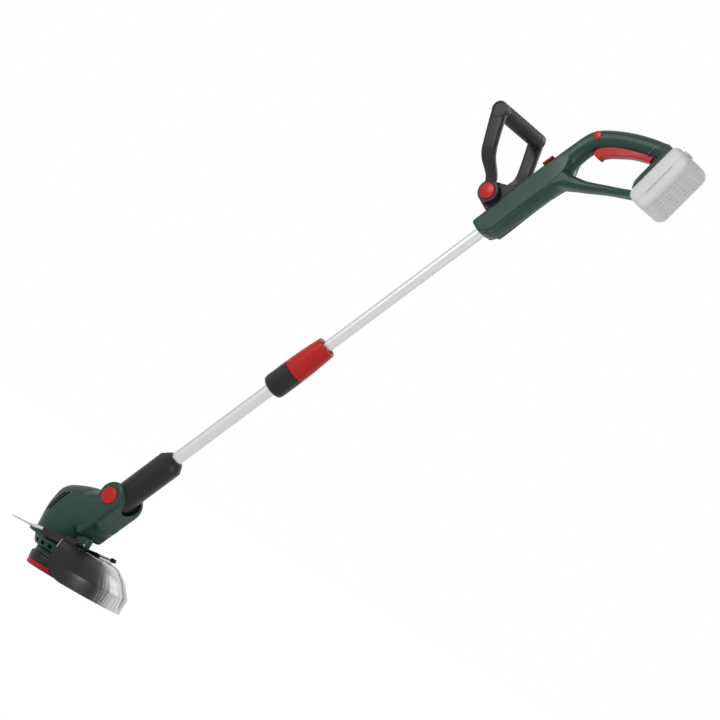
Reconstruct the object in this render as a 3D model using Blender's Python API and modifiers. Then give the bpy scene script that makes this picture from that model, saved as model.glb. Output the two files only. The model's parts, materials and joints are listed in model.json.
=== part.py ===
"""Cordless string trimmer in its use position.

Metres, +Z up along the spool axis, +X towards the user, +Y to the user's right. The origin is the
centre of the flat underside of the spool cap.
"""
import bpy
import bmesh
from math import acos, atan2, cos, pi, radians, sin, tan
from mathutils import Matrix, Vector

# Fits
GAP = 0.0003
SPLIT = 0.00015
SLACK = 0.0006

# Tube line, from the tilt pivot of the head up to the rear grip
PIVOT_X = 0.0520
PIVOT_Z = 0.1680
TUBE_LEAN = radians(27.56)
LOWER_TUBE_RADIUS = 0.0110
UPPER_TUBE_RADIUS = 0.0095
TUBE_WALL = 0.0012
LOWER_TUBE_START = 0.0600
LOWER_TUBE_END = 0.3980
TELESCOPE_TRAVEL = 0.2300

# Clamp sleeve
CLAMP_START = 0.3250
CLAMP_BORDER = 0.3757
CLAMP_END = 0.4490
CLAMP_RADIUS = 0.0223
CLAMP_END_RADIUS = 0.0172
SPIGOT_RADIUS = 0.0165
SPIGOT_LENGTH = 0.0248
COLLET_RADIUS = 0.0147
COLLET_LENGTH = 0.0300

# Tube adapter
ADAPTER_RADIUS = 0.0240
ADAPTER_TOP_RADIUS = 0.0143
ADAPTER_TAPER = 0.0155
ADAPTER_END = 0.1240
ADAPTER_HUB_RADIUS = 0.0225
ADAPTER_HUB_HALF = 0.0233
ADAPTER_FACETS = 8
TILT_PIN_RADIUS = 0.0042
ADAPTER_PIN_RADIUS = 0.0020
ADAPTER_PIN_S = 0.0850
ADAPTER_PIN_REACH = 0.0160
UPPER_TUBE_START = ADAPTER_PIN_S + ADAPTER_PIN_RADIUS + TELESCOPE_TRAVEL + 2 * GAP

# Head housing
CHEEK_RADIUS = 0.0278
CHEEK_HALF = 0.0340
CHEEK_INNER = 0.0245
TAIL_LENGTH = 0.0850
TAIL_BOTTOM = 0.0660
HEAD_BACK_TILT = radians(40.0)
HEAD_BUTTON_RADIUS = 0.0155
HEAD_BUTTON_PROUD = 0.0035
HEAD_BUTTON_SINK = 0.0045
HEAD_BUTTON_TRAVEL = 0.0018
HEAD_POCKET = HEAD_BUTTON_SINK + HEAD_BUTTON_TRAVEL + GAP
FLANGE_BOTTOM = 0.0500
FLANGE_TOP = 0.0562
BOSS_X = 0.0360
BOSS_RADIUS = 0.0130
WINDOW_ANGLES = (66.0, 85.0, 104.0)
WINDOW_WIDTH = 0.0080
WINDOW_BOTTOM = 0.0392
WINDOW_TOP = 0.0455
VENT_SLOT_HALF_WIDTH = 0.0014
VENT_SLOT_HALF_LENGTH = 0.0225
VENT_SLOT_CENTRES = ((-0.0340, 0.1170), (-0.0420, 0.1130))
VENT_SLOT_LEAN = radians(22.0)

# Motor, fan and spool, stacked on the spool axis
SHAFT_RADIUS = 0.0025
SHAFT_BORE = SHAFT_RADIUS + GAP
SHAFT_BOTTOM = 0.0210
SHAFT_TOP = 0.1260
MOTOR_RADIUS = 0.0215
MOTOR_WALL = 0.0068
MOTOR_BOTTOM = 0.0600
MOTOR_TOP = 0.1200
MOTOR_END = 0.0018
ROTOR_RADIUS = 0.0138
ROTOR_BOTTOM = 0.0680
ROTOR_TOP = 0.1120
BEARING_RADIUS = 0.0062
LOWER_BEARING = 0.0556
UPPER_BEARING = 0.1206
BEARING_WIDTH = 0.0040
CHAMBER_RADIUS = 0.0430
CHAMBER_TOP = 0.0500
BASE_BOTTOM = 0.0348
FAN_RADIUS = 0.0400
FAN_BOTTOM = 0.0384
FAN_DISC = 0.0014
FAN_BLADE_HEIGHT = 0.0080
FAN_BLADES = 10
FAN_HUB_RADIUS = 0.0080
CAP_RADIUS = 0.0445
CAP_HEIGHT = 0.0090
CAP_FLOOR = 0.0030
BUMP_RADIUS = 0.0140
BUMP_GROOVE = 0.0012
CUP_TOP = 0.0340
CUP_RADIUS = 0.0460
CUP_NECK_RADIUS = 0.0418
CUP_INNER = 0.0397
CUP_ROOF = 0.0034
HUB_RADIUS = 0.0078
HUB_FLANGE_RADIUS = 0.0120
HUB_BOTTOM = 0.0120
REEL_RADIUS = 0.0386
REEL_CORE_RADIUS = 0.0180
REEL_FLANGE = 0.0015
REEL_BOTTOM = 0.0110
REEL_TOP = 0.0294
REEL_POCKET = 0.0150
COIL_RADIUS = 0.0335
LINE_RADIUS = 0.0008
LINE_REACH = 0.0580
EYELET_RADIUS = 0.0038
EYELET_ANGLE = radians(128.0)
EYELET_HEIGHT = 0.0190
SPRING_RADIUS = 0.0115
SPRING_WIRE = 0.0005
SPRING_TURNS = 4

# Guard, line cutter and plant-guard wire
GUARD_HALF_ANGLE = radians(57.5)
GUARD_WALL = 0.0025
GUARD_INNER = 0.0625
GUARD_TOP = 0.0670
GUARD_RADIUS = 0.1390
GUARD_RIM = 0.0025
GUARD_CORNER = (
    (40.0, -0.0100),
    (40.0, 0.0024),
    (44.0, 0.0030),
    (52.0, 0.0080),
    (57.5, 0.0290),
    (66.0, 0.0290),
    (66.0, -0.0100),
)
MOUNT_BOTTOM = 0.0572
MOUNT_TOP = GUARD_TOP - GUARD_WALL - GAP
MOUNT_REACH = 0.0700
MOUNT_FRONT = 0.0325
TONGUE_TIP_X = 0.0240
WIRE_HALF = 0.0500
ARM_INNER = WIRE_HALF - 0.0034
ARM_OUTER = WIRE_HALF + 0.0068
ARM_FRONT = -0.0165
ARM_REAR = 0.0330
RAIL_FRONT = 0.0345
RAIL_REAR = 0.0615
RAIL_INNER = WIRE_HALF + 0.0046
RAIL_OUTER = WIRE_HALF + 0.0070
ARM_BOTTOM = 0.0528
ARM_COVER = 0.0030
WIRE_RADIUS = 0.0014
WIRE_BEND_X = -0.0620
WIRE_END_X = 0.0740
WIRE_HEIGHT = 0.0652
WIRE_SLOPE = 0.14
WIRE_FRONT_SLOPE = 0.07
WIRE_ARC_X = -0.0700
WIRE_TRAVEL = 0.0285
FERRULE_RADIUS = 0.0028
FERRULE_FRONT = -0.0430
STOP_FRONT = ARM_REAR + WIRE_TRAVEL + SLACK
STOP_REAR = STOP_FRONT + 0.0080
STOP_HALF = 0.0042
STOP_FLOOR = GUARD_TOP + GAP + WIRE_TRAVEL * WIRE_SLOPE
CUTTER_ANGLE = radians(-24.0)
CUTTER_REACH = 0.0100

# Rear handle
HANDLE_SOCKET_END = 0.9060
PIVOT_BOSS_S = 0.8240
PIVOT_BOSS_N = 0.0360
PIVOT_BOSS_RADIUS = 0.0215
FRONT_PIN_RADIUS = 0.0040
TRIGGER_HALF = 0.0080
TRIGGER_PIVOT = (0.6300, 1.0900)
TRIGGER_LUG_RADIUS = 0.0050
TRIGGER_PIN_RADIUS = 0.0020
TRIGGER_PIN_HALF = 0.0106
TRIGGER_SWING = radians(5.5)
GRIP_BEND = ((0.5200, 1.0920), (0.5380, 1.0630))
LOCK_AHEAD = 0.0070
LOCK_ABOVE = 0.0010
LOCK_X = (GRIP_BEND[0][0] + GRIP_BEND[1][0]) / 2 - LOCK_AHEAD
LOCK_Z = (GRIP_BEND[0][1] + GRIP_BEND[1][1]) / 2 + LOCK_ABOVE
LOCK_RADIUS = 0.0078
LOCK_OUTER = 0.0190
LOCK_INNER = 0.0128
LOCK_TRAVEL = 0.0020
SLIDER_START = 0.9225
SLIDER_LENGTH = 0.0215
SLIDER_HALF = 0.0055
SLIDER_FLOOR = 0.0165
SLIDER_TOP = 0.0258
SLIDER_TRAVEL = 0.0060
SWITCH_AHEAD = 0.0860
SWITCH_LENGTH = 0.0200
SWITCH_HEIGHT = 0.0110
SWITCH_HALF = 0.0068
SWITCH_FRONT = TRIGGER_PIVOT[0] - SWITCH_AHEAD
SWITCH_REAR = SWITCH_FRONT + SWITCH_LENGTH
SWITCH_BOTTOM = TRIGGER_PIVOT[1] - 0.0035
SWITCH_TOP = SWITCH_BOTTOM + SWITCH_HEIGHT

# Second handle, in a frame that stands on its pivot and leans forward
YOKE_LEAN = radians(-15.8)
YOKE_HEIGHT = 0.1297
YOKE_HALF = 0.0738
YOKE_BAR_RADIUS = 0.0142
YOKE_CORE_RADIUS = 0.0112
YOKE_GRIP_HALF = 0.0560
LUG_RADIUS = 0.0190
LUG_INNER = 0.0222
LUG_OUTER = 0.0330
YOKE_BUTTON_RADIUS = 0.0140
YOKE_BUTTON_PROUD = 0.0050
YOKE_BUTTON_TRAVEL = 0.0030
YOKE_BUTTON_POCKET = 0.0075

# Battery, in a frame on its seat: x away from the seat, z along the slide
SEAT_X = 0.6574
SEAT_Z = 1.0670
BATTERY_LEAN = radians(17.5)
BATTERY_DEPTH = 0.0470
BATTERY_HALF_WIDTH = 0.0375
BATTERY_BOTTOM = -0.0590
BATTERY_TOP = 0.0520
BATTERY_PARTING = 0.0265
CELL_RADIUS = 0.0086
CELL_HALF_LENGTH = 0.0325
CELL_PITCH = 0.0186
CELL_MIDDLE = -0.0035
CELL_COUNT = 5
TONGUE_WEB_HALF = 0.0160
TONGUE_HALF = 0.0210
TONGUE_ROOT = 0.0060
TONGUE_WEB = 0.0035
TONGUE_DEPTH = 0.0065
TONGUE_BOTTOM = -0.0400
TONGUE_TOP = 0.0300
BLADE_LENGTH = 0.0100
BLADE_HALF = 0.0025
BLADE_PLACES = (-0.0110, 0.0110)
CATCH_HALF = 0.0090
CATCH_FRONT = 0.0050
CATCH_REAR = 0.0140
CATCH_BOTTOM = 0.0460
CATCH_TOP = 0.0552
CATCH_TRAVEL = 0.0030

# Screws: (x, z, outer y) for the ones that close the shells from the right side
SCREW_HEAD = 0.0023
SCREW_HEAD_RADIUS = 0.0032
SCREW_SHANK_RADIUS = 0.0015
HEAD_SCREWS = (
    (-0.0450, 0.1340, 0.0205),
    (0.0300, 0.0920, 0.0310),
    (-0.0160, 0.0570, 0.0385),
)
GUARD_SCREW_Z = MOUNT_BOTTOM - 0.0020
GUARD_SCREW_LENGTH = 0.0105
GUARD_SCREWS = ((0.0560, -0.0300, GUARD_SCREW_Z), (0.0560, 0.0300, GUARD_SCREW_Z))
HANDLE_SCREWS = (
    ((0.4364, 0.8698), 0.0195),
    ((0.6000, 1.1020), 0.0145),
    ((0.5850, 1.0058), 0.0112),
    ((0.6420, 1.0600), 0.0175),
)

ROUND_STEPS = 20
SMALL_STEPS = 10

TUBE_FRAME = Matrix.Translation((PIVOT_X, 0, PIVOT_Z)) @ Matrix.Rotation(TUBE_LEAN, 4, "Y")
SEAT_FRAME = Matrix.Translation((SEAT_X, 0, SEAT_Z)) @ Matrix.Rotation(BATTERY_LEAN, 4, "Y")


def on_tube(s, n=0.0, y=0.0):
    """The world point at a distance s up the tube line and n above it."""
    return TUBE_FRAME @ Vector((-n, y, s))


def on_seat(x, y, z):
    return SEAT_FRAME @ Vector((x, y, z))


YOKE_PIVOT = on_tube(PIVOT_BOSS_S, PIVOT_BOSS_N)
YOKE_FRAME = Matrix.Translation(YOKE_PIVOT) @ Matrix.Rotation(YOKE_LEAN, 4, "Y")


def wire_height(x):
    """Height of the plant-guard wire's centre line above the ground at x."""
    if x >= WIRE_BEND_X:
        return WIRE_HEIGHT + WIRE_SLOPE * x
    return WIRE_HEIGHT + WIRE_SLOPE * WIRE_BEND_X + WIRE_FRONT_SLOPE * (x - WIRE_BEND_X)


# Scene, collections and materials
for old in list(bpy.data.objects):
    bpy.data.objects.remove(old, do_unlink=True)

PARTS = bpy.data.collections.new("string_trimmer")
TOOLS = bpy.data.collections.new("cutters")
bpy.context.scene.collection.children.link(PARTS)
bpy.context.scene.collection.children.link(TOOLS)


def material(name, colour, roughness, metallic=0.0):
    made = bpy.data.materials.new(name)
    made.use_nodes = True
    shader = made.node_tree.nodes["Principled BSDF"]
    shader.inputs["Base Color"].default_value = (*colour, 1.0)
    shader.inputs["Roughness"].default_value = roughness
    shader.inputs["Metallic"].default_value = metallic
    return made


GREEN = material("green_housing", (0.035, 0.110, 0.075), 0.45)
RED = material("red_control", (0.520, 0.035, 0.030), 0.40)
BLACK = material("black_plastic", (0.025, 0.025, 0.027), 0.50)
RUBBER = material("soft_grip", (0.040, 0.040, 0.042), 0.75)
SMOKE = material("smoked_guard", (0.110, 0.110, 0.115), 0.20)
SATIN = material("satin_tube", (0.700, 0.700, 0.700), 0.35, 0.9)
STEEL = material("bright_steel", (0.600, 0.600, 0.620), 0.30, 1.0)
BRASS = material("contact_brass", (0.720, 0.520, 0.240), 0.35, 1.0)
PALE = material("pale_battery", (0.620, 0.630, 0.630), 0.50)
LINE = material("line_nylon", (0.850, 0.380, 0.050), 0.40)


def keep(obj, stuff):
    """Put an object among the parts with its material."""
    for group in list(obj.users_collection):
        group.objects.unlink(obj)
    PARTS.objects.link(obj)
    obj.data.materials.clear()
    obj.data.materials.append(stuff)
    return obj


def tool(obj):
    """Put an object among the cutters."""
    for group in list(obj.users_collection):
        group.objects.unlink(obj)
    TOOLS.objects.link(obj)
    obj.hide_render = True
    obj.display_type = "WIRE"
    return obj


def from_bmesh(name, bm):
    bmesh.ops.recalc_face_normals(bm, faces=bm.faces)
    mesh = bpy.data.meshes.new(name)
    bm.to_mesh(mesh)
    bm.free()
    obj = bpy.data.objects.new(name, mesh)
    TOOLS.objects.link(obj)
    return obj


def settled(obj, name=None):
    """A plain mesh object with the modifiers of obj applied, in world space; obj is removed."""
    bpy.context.view_layer.update()
    graph = bpy.context.evaluated_depsgraph_get()
    mesh = bpy.data.meshes.new_from_object(obj.evaluated_get(graph))
    mesh.transform(obj.matrix_world)
    name = name or obj.name
    bpy.data.objects.remove(obj, do_unlink=True)
    made = bpy.data.objects.new(name, mesh)
    TOOLS.objects.link(made)
    return made


def cleaned(obj):
    """Weld touching points and turn every face outwards."""
    bm = bmesh.new()
    bm.from_mesh(obj.data)
    bmesh.ops.remove_doubles(bm, verts=bm.verts, dist=0.000001)
    bmesh.ops.recalc_face_normals(bm, faces=bm.faces)
    bm.to_mesh(obj.data)
    bm.free()
    return obj


def smooth(obj, angle=35.0):
    obj.data.shade_smooth()
    obj.data.set_sharp_from_angle(angle=radians(angle))
    return obj


def divided(obj):
    """Split the many-sided faces that a Boolean leaves, so that the next one cuts them cleanly."""
    bm = bmesh.new()
    bm.from_mesh(obj.data)
    bmesh.ops.triangulate(bm, faces=[face for face in bm.faces if len(face.verts) > 4])
    bm.to_mesh(obj.data)
    bm.free()
    return obj


def combine(target, others, operation):
    """Cut the others from the target, or join them to it, and remove them."""
    name = target.name
    for other in others:
        step = target.modifiers.new(other.name, "BOOLEAN")
        step.object = tool(other)
        step.operation = operation
        step.solver = "EXACT"
        target = divided(settled(target, name))
        bpy.data.objects.remove(other, do_unlink=True)
    return target


def cut(target, others):
    return combine(target, others, "DIFFERENCE")


def join(target, others):
    return combine(target, others, "UNION")


# Basic solids
def box(name, low, high, frame=None):
    bm = bmesh.new()
    bmesh.ops.create_cube(bm, size=1.0)
    size = Vector(high) - Vector(low)
    bmesh.ops.scale(bm, vec=size, verts=bm.verts)
    bmesh.ops.translate(bm, vec=(Vector(high) + Vector(low)) / 2, verts=bm.verts)
    if frame is not None:
        bmesh.ops.transform(bm, matrix=frame, verts=bm.verts)
    return from_bmesh(name, bm)


def cylinder(name, radius, start, end, steps=ROUND_STEPS, top_radius=None):
    """A cylinder or cone frustum from one point to another."""
    start = Vector(start)
    end = Vector(end)
    along = end - start
    bm = bmesh.new()
    top = radius if top_radius is None else top_radius
    bmesh.ops.create_cone(bm, cap_ends=True, segments=steps, radius1=radius, radius2=top, depth=along.length)
    turn = along.to_track_quat("Z", "Y").to_matrix().to_4x4()
    bmesh.ops.transform(bm, matrix=Matrix.Translation((start + end) / 2) @ turn, verts=bm.verts)
    return from_bmesh(name, bm)


def turned(name, profile, steps=ROUND_STEPS, frame=None, closed=False):
    """Turn a profile of (radius, height) about Z; it runs down the outer side of the piece."""
    mesh = bpy.data.meshes.new(name)
    points = [(r, 0.0, z) for r, z in profile]
    edges = [(i, i + 1) for i in range(len(points) - 1)]
    if closed:
        edges.append((len(points) - 1, 0))
    mesh.from_pydata(points, edges, [])
    obj = bpy.data.objects.new(name, mesh)
    TOOLS.objects.link(obj)
    spin = obj.modifiers.new("turn", "SCREW")
    spin.axis = "Z"
    spin.steps = steps
    spin.render_steps = steps
    spin.use_merge_vertices = True
    spin.merge_threshold = 0.00001
    spin.use_normal_calculate = True
    if frame is not None:
        obj.matrix_world = frame
    return cleaned(settled(obj, name))


def rounded(corners, steps=5):
    """Points of a closed outline whose corners (x, z, radius) are filleted with arcs."""
    points = []
    count = len(corners)
    for i, (x, z, radius) in enumerate(corners):
        here = Vector((x, z))
        if radius <= 0:
            points.append(here)
            continue
        before = (Vector(corners[i - 1][:2]) - here).normalized()
        after = (Vector(corners[(i + 1) % count][:2]) - here).normalized()
        half = acos(max(-1.0, min(1.0, before.dot(after)))) / 2
        middle = here + (before + after).normalized() * (radius / sin(half))
        first = here + before * (radius / tan(half)) - middle
        last = here + after * (radius / tan(half)) - middle
        start = atan2(first.y, first.x)
        sweep = (atan2(last.y, last.x) - start + pi) % (2 * pi) - pi
        for k in range(steps + 1):
            angle = start + sweep * k / steps
            points.append(middle + Vector((cos(angle), sin(angle))) * radius)
    return points


def plate(name, outline, half, edge=0.0, edge_steps=2, frame=None, middle=0.0):
    """A flat piece from an outline in the XZ plane, as wide as twice half along Y."""
    curve = bpy.data.curves.new(name, "CURVE")
    curve.dimensions = "2D"
    curve.fill_mode = "BOTH"
    curve.extrude = half
    spline = curve.splines.new("POLY")
    spline.points.add(len(outline) - 1)
    for point, place in zip(spline.points, outline):
        point.co = (place[0], place[1], 0.0, 1.0)
    spline.use_cyclic_u = True
    obj = bpy.data.objects.new(name, curve)
    TOOLS.objects.link(obj)
    stand = Matrix.Translation((0, middle, 0)) @ Matrix.Rotation(radians(90.0), 4, "X")
    obj.matrix_world = stand if frame is None else frame @ stand
    made = cleaned(settled(obj, name))
    if edge > 0:
        round_edges(made, edge, edge_steps)
        made = settled(made, name)
    return made


def round_edges(obj, width, steps=2, angle=40.0):
    bevel = obj.modifiers.new("rounding", "BEVEL")
    bevel.width = width
    bevel.segments = steps
    bevel.limit_method = "ANGLE"
    bevel.angle_limit = radians(angle)
    bevel.use_clamp_overlap = True
    return obj


def rod(name, points, radius, resolution=3, frame=None):
    """A round rod or wire along a chain of points."""
    curve = bpy.data.curves.new(name, "CURVE")
    curve.dimensions = "3D"
    curve.bevel_depth = radius
    curve.bevel_resolution = resolution
    curve.use_fill_caps = True
    spline = curve.splines.new("POLY")
    spline.points.add(len(points) - 1)
    for point, place in zip(spline.points, points):
        point.co = (*place, 1.0)
    obj = bpy.data.objects.new(name, curve)
    TOOLS.objects.link(obj)
    if frame is not None:
        obj.matrix_world = frame
    return cleaned(settled(obj, name))


def loft(name, sections):
    """Join closed sections of equal point counts with faces and close both ends."""
    bm = bmesh.new()
    rings = [[bm.verts.new(point) for point in section] for section in sections]
    count = len(rings[0])
    for lower, upper in zip(rings, rings[1:]):
        for i in range(count):
            j = (i + 1) % count
            bm.faces.new((lower[i], lower[j], upper[j], upper[i]))
    bm.faces.new(rings[0])
    bm.faces.new(rings[-1])
    return from_bmesh(name, bm)


def oval(half_a, half_b, power, count):
    """A superellipse around the origin: power 2 is an ellipse, larger powers are boxier."""
    points = []
    for k in range(count):
        angle = 2 * pi * k / count
        c = cos(angle)
        s = sin(angle)
        a = half_a * abs(c) ** (2 / power) * (1 if c >= 0 else -1)
        b = half_b * abs(s) ** (2 / power) * (1 if s >= 0 else -1)
        points.append((a, b))
    return points


def halves(solid, cutters, left_name, right_name, stuff):
    """Split a housing just beside the middle plane, then cut the rooms out of each shell."""
    far = 2.0
    for name, side in ((left_name, -1), (right_name, 1)):
        half = bpy.data.objects.new(name, solid.data.copy())
        TOOLS.objects.link(half)
        low = -SPLIT if side < 0 else -far
        high = far if side < 0 else SPLIT
        copies = [box("trim", (-far, low, -far), (far, high, far))]
        for cutter in cutters:
            reach = [vert.co.y * side for vert in cutter.data.vertices]
            if max(reach) > SPLIT:
                twin = bpy.data.objects.new(cutter.name, cutter.data.copy())
                TOOLS.objects.link(twin)
                copies.append(twin)
        smooth(keep(cut(half, copies), stuff))
    for used in (solid, *cutters):
        bpy.data.objects.remove(used, do_unlink=True)


def numbered(name, solids, stuff):
    """Repeated pieces, each its own object with a number after the shared name."""
    for number, solid in enumerate(solids, 1):
        solid.name = f"{name}_{number}"
        smooth(keep(solid, stuff))


def screw(start, along, length):
    """A pan-head screw whose head starts at a point and whose shank runs on along a direction."""
    start = Vector(start)
    along = Vector(along)
    head = cylinder("screw", SCREW_HEAD_RADIUS, start, start + along * SCREW_HEAD, 10)
    shank = cylinder("shank", SCREW_SHANK_RADIUS, start + along * SCREW_HEAD / 2, start + along * length, 6)
    return join(head, [shank])


def screw_hole(start, along, length, approach=0.0300):
    """The counterbore and the shank hole for a screw, as cutters."""
    start = Vector(start)
    along = Vector(along)
    seat = start + along * (SCREW_HEAD + GAP)
    back = start - along * approach
    wide = cylinder("counterbore", SCREW_HEAD_RADIUS + GAP, back, seat, 10)
    thin = cylinder("shank_hole", SCREW_SHANK_RADIUS + GAP, back, start + along * (length + GAP), 6)
    return [wide, thin]


# Tubes, clamp and adapter
def tube(name, radius, start, end):
    inner = radius - TUBE_WALL
    profile = [(radius, end), (radius, start), (inner, start), (inner, end)]
    return turned(name, profile, ROUND_STEPS, TUBE_FRAME, closed=True)


def pin_hole(extra):
    """The cross pin that holds the lower tube in its adapter, from the right side."""
    radius = ADAPTER_PIN_RADIUS + extra
    near = -ADAPTER_PIN_REACH - extra
    return cylinder("pin", radius, on_tube(ADAPTER_PIN_S, 0, near), on_tube(ADAPTER_PIN_S, 0, 0.0400), 12)


def make_tubes():
    lower = tube("lower_tube", LOWER_TUBE_RADIUS, LOWER_TUBE_START, LOWER_TUBE_END)
    smooth(keep(cut(lower, [pin_hole(GAP)]), SATIN))
    upper = tube("upper_tube", UPPER_TUBE_RADIUS, UPPER_TUBE_START, HANDLE_SOCKET_END - GAP)
    smooth(keep(upper, SATIN))


def make_clamp():
    """A base fixed on the lower tube, a split collet and the collar that squeezes it."""
    bore = LOWER_TUBE_RADIUS + GAP
    spigot_end = CLAMP_BORDER + SPIGOT_LENGTH
    profile = [
        (SPIGOT_RADIUS, spigot_end),
        (SPIGOT_RADIUS, CLAMP_BORDER),
        (CLAMP_RADIUS, CLAMP_BORDER),
        (CLAMP_RADIUS, CLAMP_START + 0.0130),
        (CLAMP_RADIUS - 0.0006, CLAMP_START + 0.0080),
        (CLAMP_RADIUS - 0.0022, CLAMP_START + 0.0035),
        (CLAMP_RADIUS - 0.0050, CLAMP_START),
        (bore, CLAMP_START),
        (bore, spigot_end),
    ]
    smooth(keep(turned("clamp_base", profile, ROUND_STEPS, TUBE_FRAME, closed=True), BLACK))

    slim = UPPER_TUBE_RADIUS + GAP
    start = CLAMP_BORDER + GAP
    cavity = spigot_end + GAP
    collet_top = cavity + COLLET_LENGTH + 2 * GAP
    span = CLAMP_END - start - 0.0020
    side = []
    for k in range(6, -1, -1):
        share = k / 6
        radius = CLAMP_RADIUS - (CLAMP_RADIUS - CLAMP_END_RADIUS) * share ** 2.2
        side.append((radius, start + 0.0010 + span * share))
    profile = [
        (slim, CLAMP_END - 0.0080),
        (slim + 0.0030, CLAMP_END - 0.0015),
        (CLAMP_END_RADIUS - 0.0030, CLAMP_END),
        *side,
        (CLAMP_RADIUS - 0.0006, start),
        (SPIGOT_RADIUS + GAP, start),
        (SPIGOT_RADIUS + GAP, cavity),
        (COLLET_RADIUS + GAP, cavity),
        (COLLET_RADIUS + GAP, collet_top),
        (slim, collet_top),
    ]
    smooth(keep(turned("clamp_collar", profile, ROUND_STEPS, TUBE_FRAME, closed=True), RED))

    low = spigot_end + 2 * GAP
    high = low + COLLET_LENGTH
    profile = [
        (COLLET_RADIUS - 0.0015, high),
        (COLLET_RADIUS, high - 0.0060),
        (COLLET_RADIUS, low),
        (slim, low),
        (slim, high),
    ]
    ring = turned("clamp_collet", profile, 24, TUBE_FRAME, closed=True)
    slit = box("slit", (0, -0.0010, low - 0.0100), (0.0300, 0.0010, high + 0.0100), TUBE_FRAME)
    smooth(keep(cut(ring, [slit]), BLACK))


def make_tube_adapter():
    """A round sleeve with a faceted upper end and a hub that turns on the tilt pin."""
    body = cylinder("tube_adapter", ADAPTER_RADIUS, on_tube(0.0), on_tube(ADAPTER_END), ROUND_STEPS)
    low = (PIVOT_X, -ADAPTER_HUB_HALF, PIVOT_Z)
    high = (PIVOT_X, ADAPTER_HUB_HALF, PIVOT_Z)
    body = join(body, [cylinder("hub", ADAPTER_HUB_RADIUS, low, high, ROUND_STEPS)])
    slope = atan2(ADAPTER_RADIUS - ADAPTER_TOP_RADIUS, ADAPTER_TAPER)
    cutters = []
    for k in range(ADAPTER_FACETS):
        around = Matrix.Rotation(2 * pi * (k + 0.5) / ADAPTER_FACETS, 4, "Z")
        edge = Matrix.Translation((ADAPTER_TOP_RADIUS, 0, ADAPTER_END))
        facet = TUBE_FRAME @ around @ edge @ Matrix.Rotation(-slope, 4, "Y")
        cutters.append(box("facet", (0, -0.0500, -0.0600), (0.0400, 0.0500, 0.0400), facet))
    bore = LOWER_TUBE_RADIUS + GAP
    low = on_tube(LOWER_TUBE_START - GAP)
    cutters.append(cylinder("bore", bore, low, on_tube(ADAPTER_END + 0.0200), ROUND_STEPS))
    cutters.append(tilt_pin_solid("pin_bore", GAP))
    cutters.append(pin_hole(GAP))
    smooth(keep(cut(body, cutters), BLACK))

    pin = cylinder(
        "adapter_pin",
        ADAPTER_PIN_RADIUS,
        on_tube(ADAPTER_PIN_S, 0, -ADAPTER_PIN_REACH),
        on_tube(ADAPTER_PIN_S, 0, ADAPTER_RADIUS - 0.0012),
        12,
    )
    smooth(keep(pin, STEEL))
    smooth(keep(tilt_pin_solid("tilt_pin", 0.0), STEEL))


def tilt_pin_solid(name, extra):
    """The cross pin of the head, ending just under the floors of the two side pockets."""
    half = CHEEK_HALF - HEAD_POCKET - 2 * SLACK if extra == 0 else CHEEK_HALF
    radius = TILT_PIN_RADIUS + extra
    return cylinder(name, radius, (PIVOT_X, -half, PIVOT_Z), (PIVOT_X, half, PIVOT_Z), SMALL_STEPS)


# Head
def dome(name, count):
    levels = [
        (0.0490, -0.0700, 0.0300, 0.0420, 2.3),
        (0.0575, -0.0700, 0.0305, 0.0422, 2.3),
        (0.0850, -0.0700, 0.0360, 0.0420, 2.3),
        (0.1050, -0.0690, 0.0460, 0.0410, 2.3),
        (0.1200, -0.0650, 0.0540, 0.0390, 2.3),
        (0.1330, -0.0580, 0.0600, 0.0360, 2.3),
        (0.1460, -0.0450, 0.0620, 0.0300, 2.3),
        (0.1550, -0.0270, 0.0600, 0.0230, 2.2),
        (0.1610, -0.0080, 0.0500, 0.0150, 2.1),
        (0.1640, 0.0120, 0.0400, 0.0070, 2.0),
    ]
    return level_loft(name, levels, count)


def level_loft(name, levels, count):
    """Loft through level sections (height, front, rear, half width, power)."""
    sections = []
    for height, front, rear, half_width, power in levels:
        middle = (front + rear) / 2
        half = (rear - front) / 2
        sections.append([Vector((middle + a, b, height)) for a, b in oval(half, half_width, power, count)])
    return loft(name, sections)


def cheek_outline():
    """Side outline of the tail and the two cheeks, round about the tilt pivot."""
    front = PIVOT_X - CHEEK_RADIUS
    points = [(front, TAIL_BOTTOM)]
    last = -TUBE_LEAN
    for k in range(15):
        angle = pi + (last - pi) * k / 14
        points.append((PIVOT_X + CHEEK_RADIUS * cos(angle), PIVOT_Z + CHEEK_RADIUS * sin(angle)))
    low = on_tube(-TAIL_LENGTH, -CHEEK_RADIUS)
    points.append((low.x, low.z))
    points.append((low.x - 0.0040, TAIL_BOTTOM))
    return points


def head_channel():
    """Room for the adapter at every tilt between upright and laid back."""
    half = CHEEK_INNER
    hub = ADAPTER_HUB_RADIUS + 0.0028
    cutters = [cylinder("hub_room", hub, (PIVOT_X, -half, PIVOT_Z), (PIVOT_X, half, PIVOT_Z), ROUND_STEPS)]
    wide = ADAPTER_RADIUS + SLACK
    back = TUBE_LEAN + HEAD_BACK_TILT
    centre = Vector((PIVOT_X, 0, PIVOT_Z))
    for angle in (0.0, TUBE_LEAN, back):
        along = Vector((sin(angle), 0, cos(angle)))
        cutters.append(cylinder("room", wide, centre, centre + along * 0.1200, ROUND_STEPS))
    reach = 0.1000
    fan = [(PIVOT_X, PIVOT_Z)]
    for k in range(5):
        angle = back * k / 4
        fan.append((PIVOT_X + reach * sin(angle), PIVOT_Z + reach * cos(angle)))
    cutters.append(plate("sweep", fan, half))
    cutters.append(box("front_room", (0.0100, -half, 0.1725), (PIVOT_X, half, 0.2200)))
    return cutters


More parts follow.
